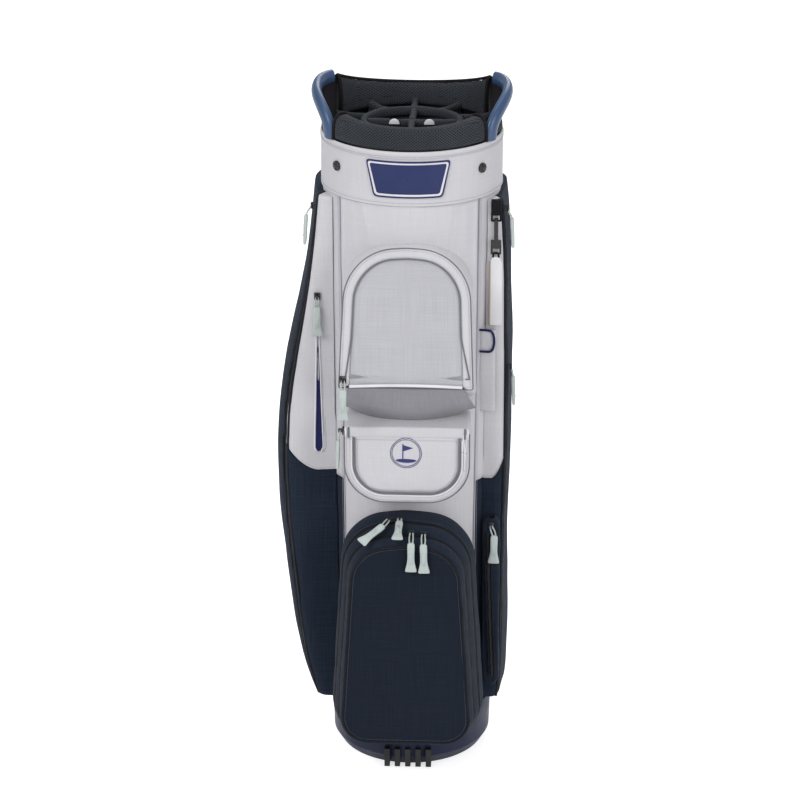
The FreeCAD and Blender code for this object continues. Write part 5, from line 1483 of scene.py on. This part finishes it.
def make_pen_sleeve():
    """A small light sleeve on the right gusset, its mouth bound in a D of dark tape."""
    tree = tree_of("pen_sleeve")
    middle, z0, z1 = 98.5, 480.0, 592.0
    rows = []
    for z in np.linspace(z0 + 1, z1 - 1, 40):
        row = []
        for x in np.linspace(middle - 10.3, middle + 10.3, 22):
            hit = skin_point(tree, (x, 0, z), FORWARD, 200)
            t = abs(x - middle) / 10.3
            y = (hit[1] if hit is not None else -60.0) + 1.6 * t ** 4
            row.append((x, y - 0.5, z))
        rows.append(row)
    rows = np.array(rows)
    back = rows.copy()
    back[:, :, 1] += 6
    ring = np.concatenate([back[:, :1], rows, back[:, -1:]], axis=1)
    sleeve = sheet_piece("pen_cloth", ring, "light", "bag", "light_fabric", replaces="pen_sleeve")
    ruffle(sleeve, 0.8, 30, seed=2.0)
    thicken(sleeve, 1.2)
    loop = []
    for a in np.linspace(-math.pi / 2, math.pi / 2, 40):
        loop.append((middle - 1 + 9.6 * max(0.0, math.cos(a)) ** 0.6, z1 - 15.5 + 14.5 * math.sin(a)))
    loop = [(middle - 9.8, z1 - 30), *loop, (middle - 9.8, z1 - 1)]
    laid = []
    for x, z in even([(x, 0, z) for x, z in loop], 60)[:, [0, 2]]:
        hit = skin_point(tree, (x, 0, min(z, z1 - 2)), FORWARD, 200)
        laid.append((x, (hit[1] if hit is not None else -60.0) - 1.6, z))
    tube("pen_binding", laid, 1.5, "lining", "bag", "navy_fabric", sides=10)


def make_right_lower():
    """The navy pocket low on the right gusset, with its curved zip and a soft bottom lobe."""
    tree = tree_of("right_lower_pocket")
    middle_x, z0, z1 = 105.5, 96.0, 335.0
    rows = []
    for z in np.linspace(z0 + 1, z1 - 1, 70):
        half = 11.2 * min(1.0, math.sqrt(min(z - z0, z1 - z) / 9))
        row = [(middle_x - half, -50.0, z)]
        for s in np.linspace(-1, 1, 24):
            x = middle_x + half * s
            hit = skin_point(tree, (x, 0, z), FORWARD, 200)
            lobe = 2.2 * math.exp(-((z - 150) / 34) ** 2) * max(0.0, s + 0.4)
            y = (hit[1] if hit is not None else -62.0) + 3.2 * abs(s) ** 5 - lobe
            row.append((x, y - 0.3, z))
        row.append((middle_x + half, -50.0, z))
        rows.append(row)
    rows = np.array(rows)
    pocket = sheet_piece("right_lower_cloth", rows, "navy", "bag", "navy_fabric",
                         replaces="right_lower_pocket")
    ruffle(pocket, 1.8, 26, (1, 1, 0.5), 6.0)
    thicken(pocket, 1.2)
    heights = rows[4:-6, 12, 2]
    track = []
    for i, z in enumerate(heights):
        s = -0.45 + 0.75 * ((z1 - z) / (z1 - z0)) ** 1.4
        column = 1 + int(round((s + 1) / 2 * 23))
        track.append(rows[4 + i, column] + (0, -1.3, 0))
    track = even(track, 120)
    zip_chain("right_lower_coil", track, (0.1, -1, 0), "bag", "tape", "zip_tape", 2.4, 3.4, "teeth", 6.4)
    tube("right_lower_piping", track + (3.6, 0.2, 0), 1.1, "piping", "bag", "navy_fabric")
    tube("right_lower_piping_2", track + (-3.6, 0.2, 0), 1.1, "piping", "bag", "navy_fabric")


SLIDER_PROFILE = ((-1, 0.35, 0.3), (-0.86, 0.8, 0.8), (-0.4, 1.0, 1.0), (0.0, 0.8, 1.0), (0.4, 1.0, 1.0),
                  (0.86, 0.8, 0.8), (1, 0.35, 0.3))
SIDE_SLIDERS = (("left_top_slider", (-122.2, -46.5, 748), (-0.5, -0.85, 0)),
                ("right_top_slider", (120.7, -46.5, 748), (0.5, -0.85, 0)),
                ("right_middle_slider", (126.9, -46.5, 536), (0.5, -0.85, 0)),
                ("right_lower_slider", (105.5, -71.0, 326), FORWARD))
COOLER_SLIDERS = (("cooler_slider_left", (-22, -138.6, 360.2), "cooler_zip", "cooler_front"),
                  ("cooler_slider_right", (-9, -138.6, 361.5), "cooler_zip", "cooler_front"),
                  ("ball_slider_left", (7, -162.6, 354.3), "ball_zip", "ball_flap"),
                  ("ball_slider_right", (22, -162.6, 352.8), "ball_zip", "ball_flap"))


def make_slider(name, centre, along, out, body="bag", slot="black_plastic", node=None):
    """A moulded zip slider: a waisted body and the bar that its pull hangs from."""
    along, out = unit(along), unit(out)
    side = np.cross(out, along)
    rows = []
    for t, wide, high in SLIDER_PROFILE:
        rows.append([centre + along * 4.4 * t + side * 3.6 * wide * math.cos(a)
                     + out * 1.7 * high * math.sin(a) for a in np.linspace(0, TAU, 16, endpoint=False)])
    rest = {"replaces": node} if node else {}
    sheet_piece(name, rows, "black", body, slot, closed=True, **rest)
    bridge = [centre + along * 3.4 * math.cos(a) + out * (1.4 + 2.2 * math.sin(a)) for a in
              np.linspace(0, math.pi, 14)]
    tube(name + "_bar", bridge, 0.9, "black", body, slot)


def make_sides():
    for side in SIDES:
        make_gusset(side)
        make_door(side)
    make_slash()
    make_pen_sleeve()
    make_right_lower()
    up = np.array([0.0, 0.0, 1.0])
    for name, centre, out in SIDE_SLIDERS:
        make_slider(name, np.array(centre), up, np.array(out, float), node="side_zips")


def make_cooler_sliders():
    """The two sliders on each of the insulated pocket's zips, at the top of their arches."""
    for name, centre, node, body in COOLER_SLIDERS:
        make_slider(name, np.array(centre, float), (1, 0, 0), (0, -0.5, 0.87), body, node=node)


# ---- zip pulls -----------------------------------------------------------------------------
PULLS = ("cooler_pull_left", "cooler_pull_right", "ball_pull_left", "ball_pull_right", "valuables_pull",
         "utility_pull", "slash_pull", "right_lower_pull", "left_pocket_pull", "right_upper_pull",
         "right_middle_pull")
GRIP_LENGTH = 38.5
GRIP_PROFILE = ((0.0, 2.6, 1.5), (0.02, 4.3, 2.3), (0.1, 4.8, 2.6), (0.3, 4.6, 2.5), (0.5, 4.3, 2.4),
                (0.68, 4.8, 2.3), (0.82, 6.2, 2.2), (0.93, 7.3, 2.1), (0.985, 7.4, 1.9), (1.0, 6.4, 1.2))


def pull_frame(node):
    """Where a pull hangs from, where its grip ends, and the way its grip is wide."""
    verts = np.array([tuple(c / MM for c in v.co) for v in frame["nodes"][node].data.vertices])
    joint = next(j for j in frame["joints"] if j["name"] == node + "_swing")
    pin = np.array(joint["pos_m"]) / MM
    reach = np.linalg.norm(verts - pin, axis=1)
    end = verts[reach > reach.max() - 4].mean(axis=0)
    grip = verts[np.linalg.norm(verts - end, axis=1) < GRIP_LENGTH * 0.95]
    down = np.linalg.svd(grip - grip.mean(axis=0), full_matrices=False)[2][0]
    down = down if (end - grip.mean(axis=0)) @ down > 0 else -down
    low = verts[(verts - end) @ down > -16]
    flat = low - low.mean(axis=0)
    flat = flat - np.outer(flat @ down, down)
    wide = np.linalg.svd(flat, full_matrices=False)[2][0]
    return pin, end, unit(wide - down * (wide @ down)), down


def make_pull(node):
    """A rubber grip that flares to its end, with a raised plain bar, on a loop of cord."""
    pin, end, wide, down = pull_frame(node)
    face = np.cross(down, wide)
    face = -face if face[1] > 0 else face
    top = end - down * (GRIP_LENGTH + 0.5)
    rows = []
    for t, half, thick in GRIP_PROFILE:
        centre = top + down * GRIP_LENGTH * t
        ring = []
        for a in np.linspace(0, TAU, 28, endpoint=False):
            c, s = math.cos(a), math.sin(a)
            ring.append(centre + wide * half * math.copysign(abs(c) ** 0.55, c)
                        + face * thick * math.copysign(abs(s) ** 0.7, s))
        rows.append(ring)
    first, last = np.mean(rows[0], axis=0), np.mean(rows[-1], axis=0)
    rows = [np.array(rows[0]) * 0.02 + first * 0.98, *rows, np.array(rows[-1]) * 0.02 + last * 0.98]
    grip = sheet_piece(node + "_grip", rows, "grip", node, "pull_rubber", closed=True, replaces=node)
    modify(grip, "SUBSURF", levels=1, render_levels=1)
    bar = []
    for t in (0.30, 0.31, 0.72, 0.73):
        centre = top + down * GRIP_LENGTH * t
        half, high = (2.0, 2.9) if 0.305 < t < 0.725 else (1.8, 2.2)
        bar.append([centre + wide * s * half + face * high for s in (-1, -0.5, 0.5, 1)])
    sheet_piece(node + "_bar", bar, "grip", node, "pull_rubber")
    for index, side in enumerate((-1, 1)):
        strand = [top + down * 3 + wide * side * 1.7, top + wide * side * 2.1,
                  (top + pin) / 2 + wide * side * 2.6 + face * 0.6, pin + down * 1.2 + wide * side * 1.5,
                  pin - down * 0.6]
        path = even(smoothed(strand), 26)
        tube(f"{node}_cord_{index}", path, 0.95, "cord", node, "pull_rubber", sides=8)


def smoothed(points, steps=3):
    """Corner-cut curve through a few points, with its ends kept."""
    points = np.asarray(points, float)
    for _ in range(steps):
        a = points[:-1] * 0.75 + points[1:] * 0.25
        b = points[:-1] * 0.25 + points[1:] * 0.75
        middle = np.stack([a, b], axis=1).reshape(-1, 3)
        points = np.vstack([points[:1], middle[1:-1], points[-1:]])
    return points


# ---- towel holder --------------------------------------------------------------------------
def make_towel_strap():
    """A flat light strap that hangs from the hook, with one tan edge, folded round its bar."""
    low, high = box_mm("towel_strap")
    x0, x1 = low[0], high[0]
    y = low[1] + 1.6
    rows = []
    heights = [high[2] - 7, high[2] - 11, *np.linspace(high[2] - 14, low[2] + 1.5, 30)]
    for i, z in enumerate(heights):
        half = (x1 - x0) / 2 * (0.55 if i == 0 else 0.85 if i == 1 else 1.0)
        sway = 0.9 * math.sin((high[2] - z) * 0.045)
        rows.append([((x0 + x1) / 2 + half * s, y - 0.8 * (1 - s * s) + sway, z)
                     for s in np.linspace(-1, 1, 14)])
    rows = np.array(rows)
    strap = sheet_piece("towel_strap_cloth", rows, "strap_light", "towel_strap", "light_fabric", arc=True,
                        replaces="towel_strap")
    thicken(strap, 2.4, 1, 0.0)
    tube("towel_strap_edge", rows[2:, 0] + (-0.5, -0.6, 0), 1.3, "tan", "towel_strap", "light_fabric")
    tube("towel_strap_far_edge", rows[2:, -1] + (0.4, -0.4, 0), 0.8, "light_piping", "towel_strap",
         "light_fabric")
    neck = [np.array([x, y, z]) for x, z in ((-3.4, high[2] - 8), (-3.4, high[2] - 3), (0, high[2] - 1.0),
                                             (3.4, high[2] - 3), (3.4, high[2] - 8))]
    neck = [p + ((x0 + x1) / 2, 0, 0) for p in neck]
    tube("towel_strap_loop", smoothed(neck), 1.3, "webbing", "towel_strap", "light_fabric")


# ---- back ----------------------------------------------------------------------------------
def back_band(name, node, half, thick_edge, thick_middle, material, puffed):
    """A padded band that follows a CAD band's bow, from its lower end to its upper end."""
    low, high = box_mm(node)
    tree = tree_of(node)
    middle = (low[0] + high[0]) / 2
    rows = []
    for z in np.linspace(low[2] + 2, high[2] - 2, 70):
        outer = skin_point(tree, (middle, 60, z), (0, 1, 0), 200)
        t = (z - low[2]) / (high[2] - low[2])
        wide = half * (0.62 + 0.38 * min(1.0, math.sin(math.pi * t) * 2.2)) if puffed else half
        thick = thick_edge + (thick_middle - thick_edge) * min(1.0, math.sin(math.pi * t) * 2.2)
        y = outer[1] - thick / 2 if outer is not None else high[1] - thick
        ring = []
        for a in np.linspace(0, TAU, 40, endpoint=False):
            c, s = math.cos(a), math.sin(a)
            ring.append((middle + wide * math.copysign(abs(c) ** 0.6, c),
                         y + thick / 2 * math.copysign(abs(s) ** 0.75, s), z))
        rows.append(ring)
    rows = np.array(rows)
    cap_low, cap_high = rows[0].mean(axis=0), rows[-1].mean(axis=0)
    rows = np.array([rows[0] * 0.02 + cap_low * 0.98, *rows, rows[-1] * 0.02 + cap_high * 0.98])
    thing = sheet_piece(name, rows, material, "bag", "webbing", closed=True, replaces=node)
    ruffle(thing, 1.2, 40, seed=3.0)
    modify(thing, "SUBSURF", levels=1, render_levels=1)
    return rows


def make_back():
    """The padded shoulder strap with its stitched cover, and the webbing grab handle."""
    low, high = box_mm("shoulder_strap")
    rows = back_band("shoulder_pad", "shoulder_strap", (high[0] - low[0]) / 2 - 0.5, 4.0, 11.0, "mesh", True)
    for name, column in (("left", 2), ("right", -22)):
        edge = rows[2:-2, column] + (0, 0.5, 0)
        tube(f"shoulder_{name}_piping", even(edge, 120), 1.3, "binding", "bag", "webbing")
    low, high = box_mm("grab_handle")
    rows = back_band("grab_cover", "grab_handle", (high[0] - low[0]) / 2 - 0.5, 4.0, 8.0, "webbing", False)
    stitches("grab_stitch", even(rows[2:-2, 6], 90) + (0, 0.4, 0), (0, 1, 0), "thread_dark", "bag", "webbing")


# ---- everything in its place ---------------------------------------------------------------
FINISHES = {"liner": "liner", "stay_rods": "rod", "base_ribs": "rubber", "top_frame": "black",
            "towel_hook": "black", "strap_rings": "dark_metal", "divider_walls": "sleeve",
            "divider_tube": "sleeve", "valuables_slider": "black", "utility_slider": "black",
            "slash_slider": "black", "towel_loop": "webbing",
            "base_cup": "base", "handle_left": "handle", "handle_right": "handle"}


def finish_carried_over():
    """Gives each CAD piece that still shows the material it is made of."""
    for node, material in FINISHES.items():
        thing = frame["nodes"][node]
        thing.data.materials.clear()
        thing.data.materials.append(MATERIALS[material])


def main():
    make_stage()
    make_lights()
    make_camera()
    make_trunk()
    make_cuff()
    make_badge()
    make_studs()
    make_rim()
    make_divider()
    make_cooler()
    make_valuables()
    make_utility()
    make_sides()
    make_cooler_sliders()
    for node in PULLS:
        make_pull(node)
    make_towel_strap()
    make_back()
    finish_carried_over()


main()
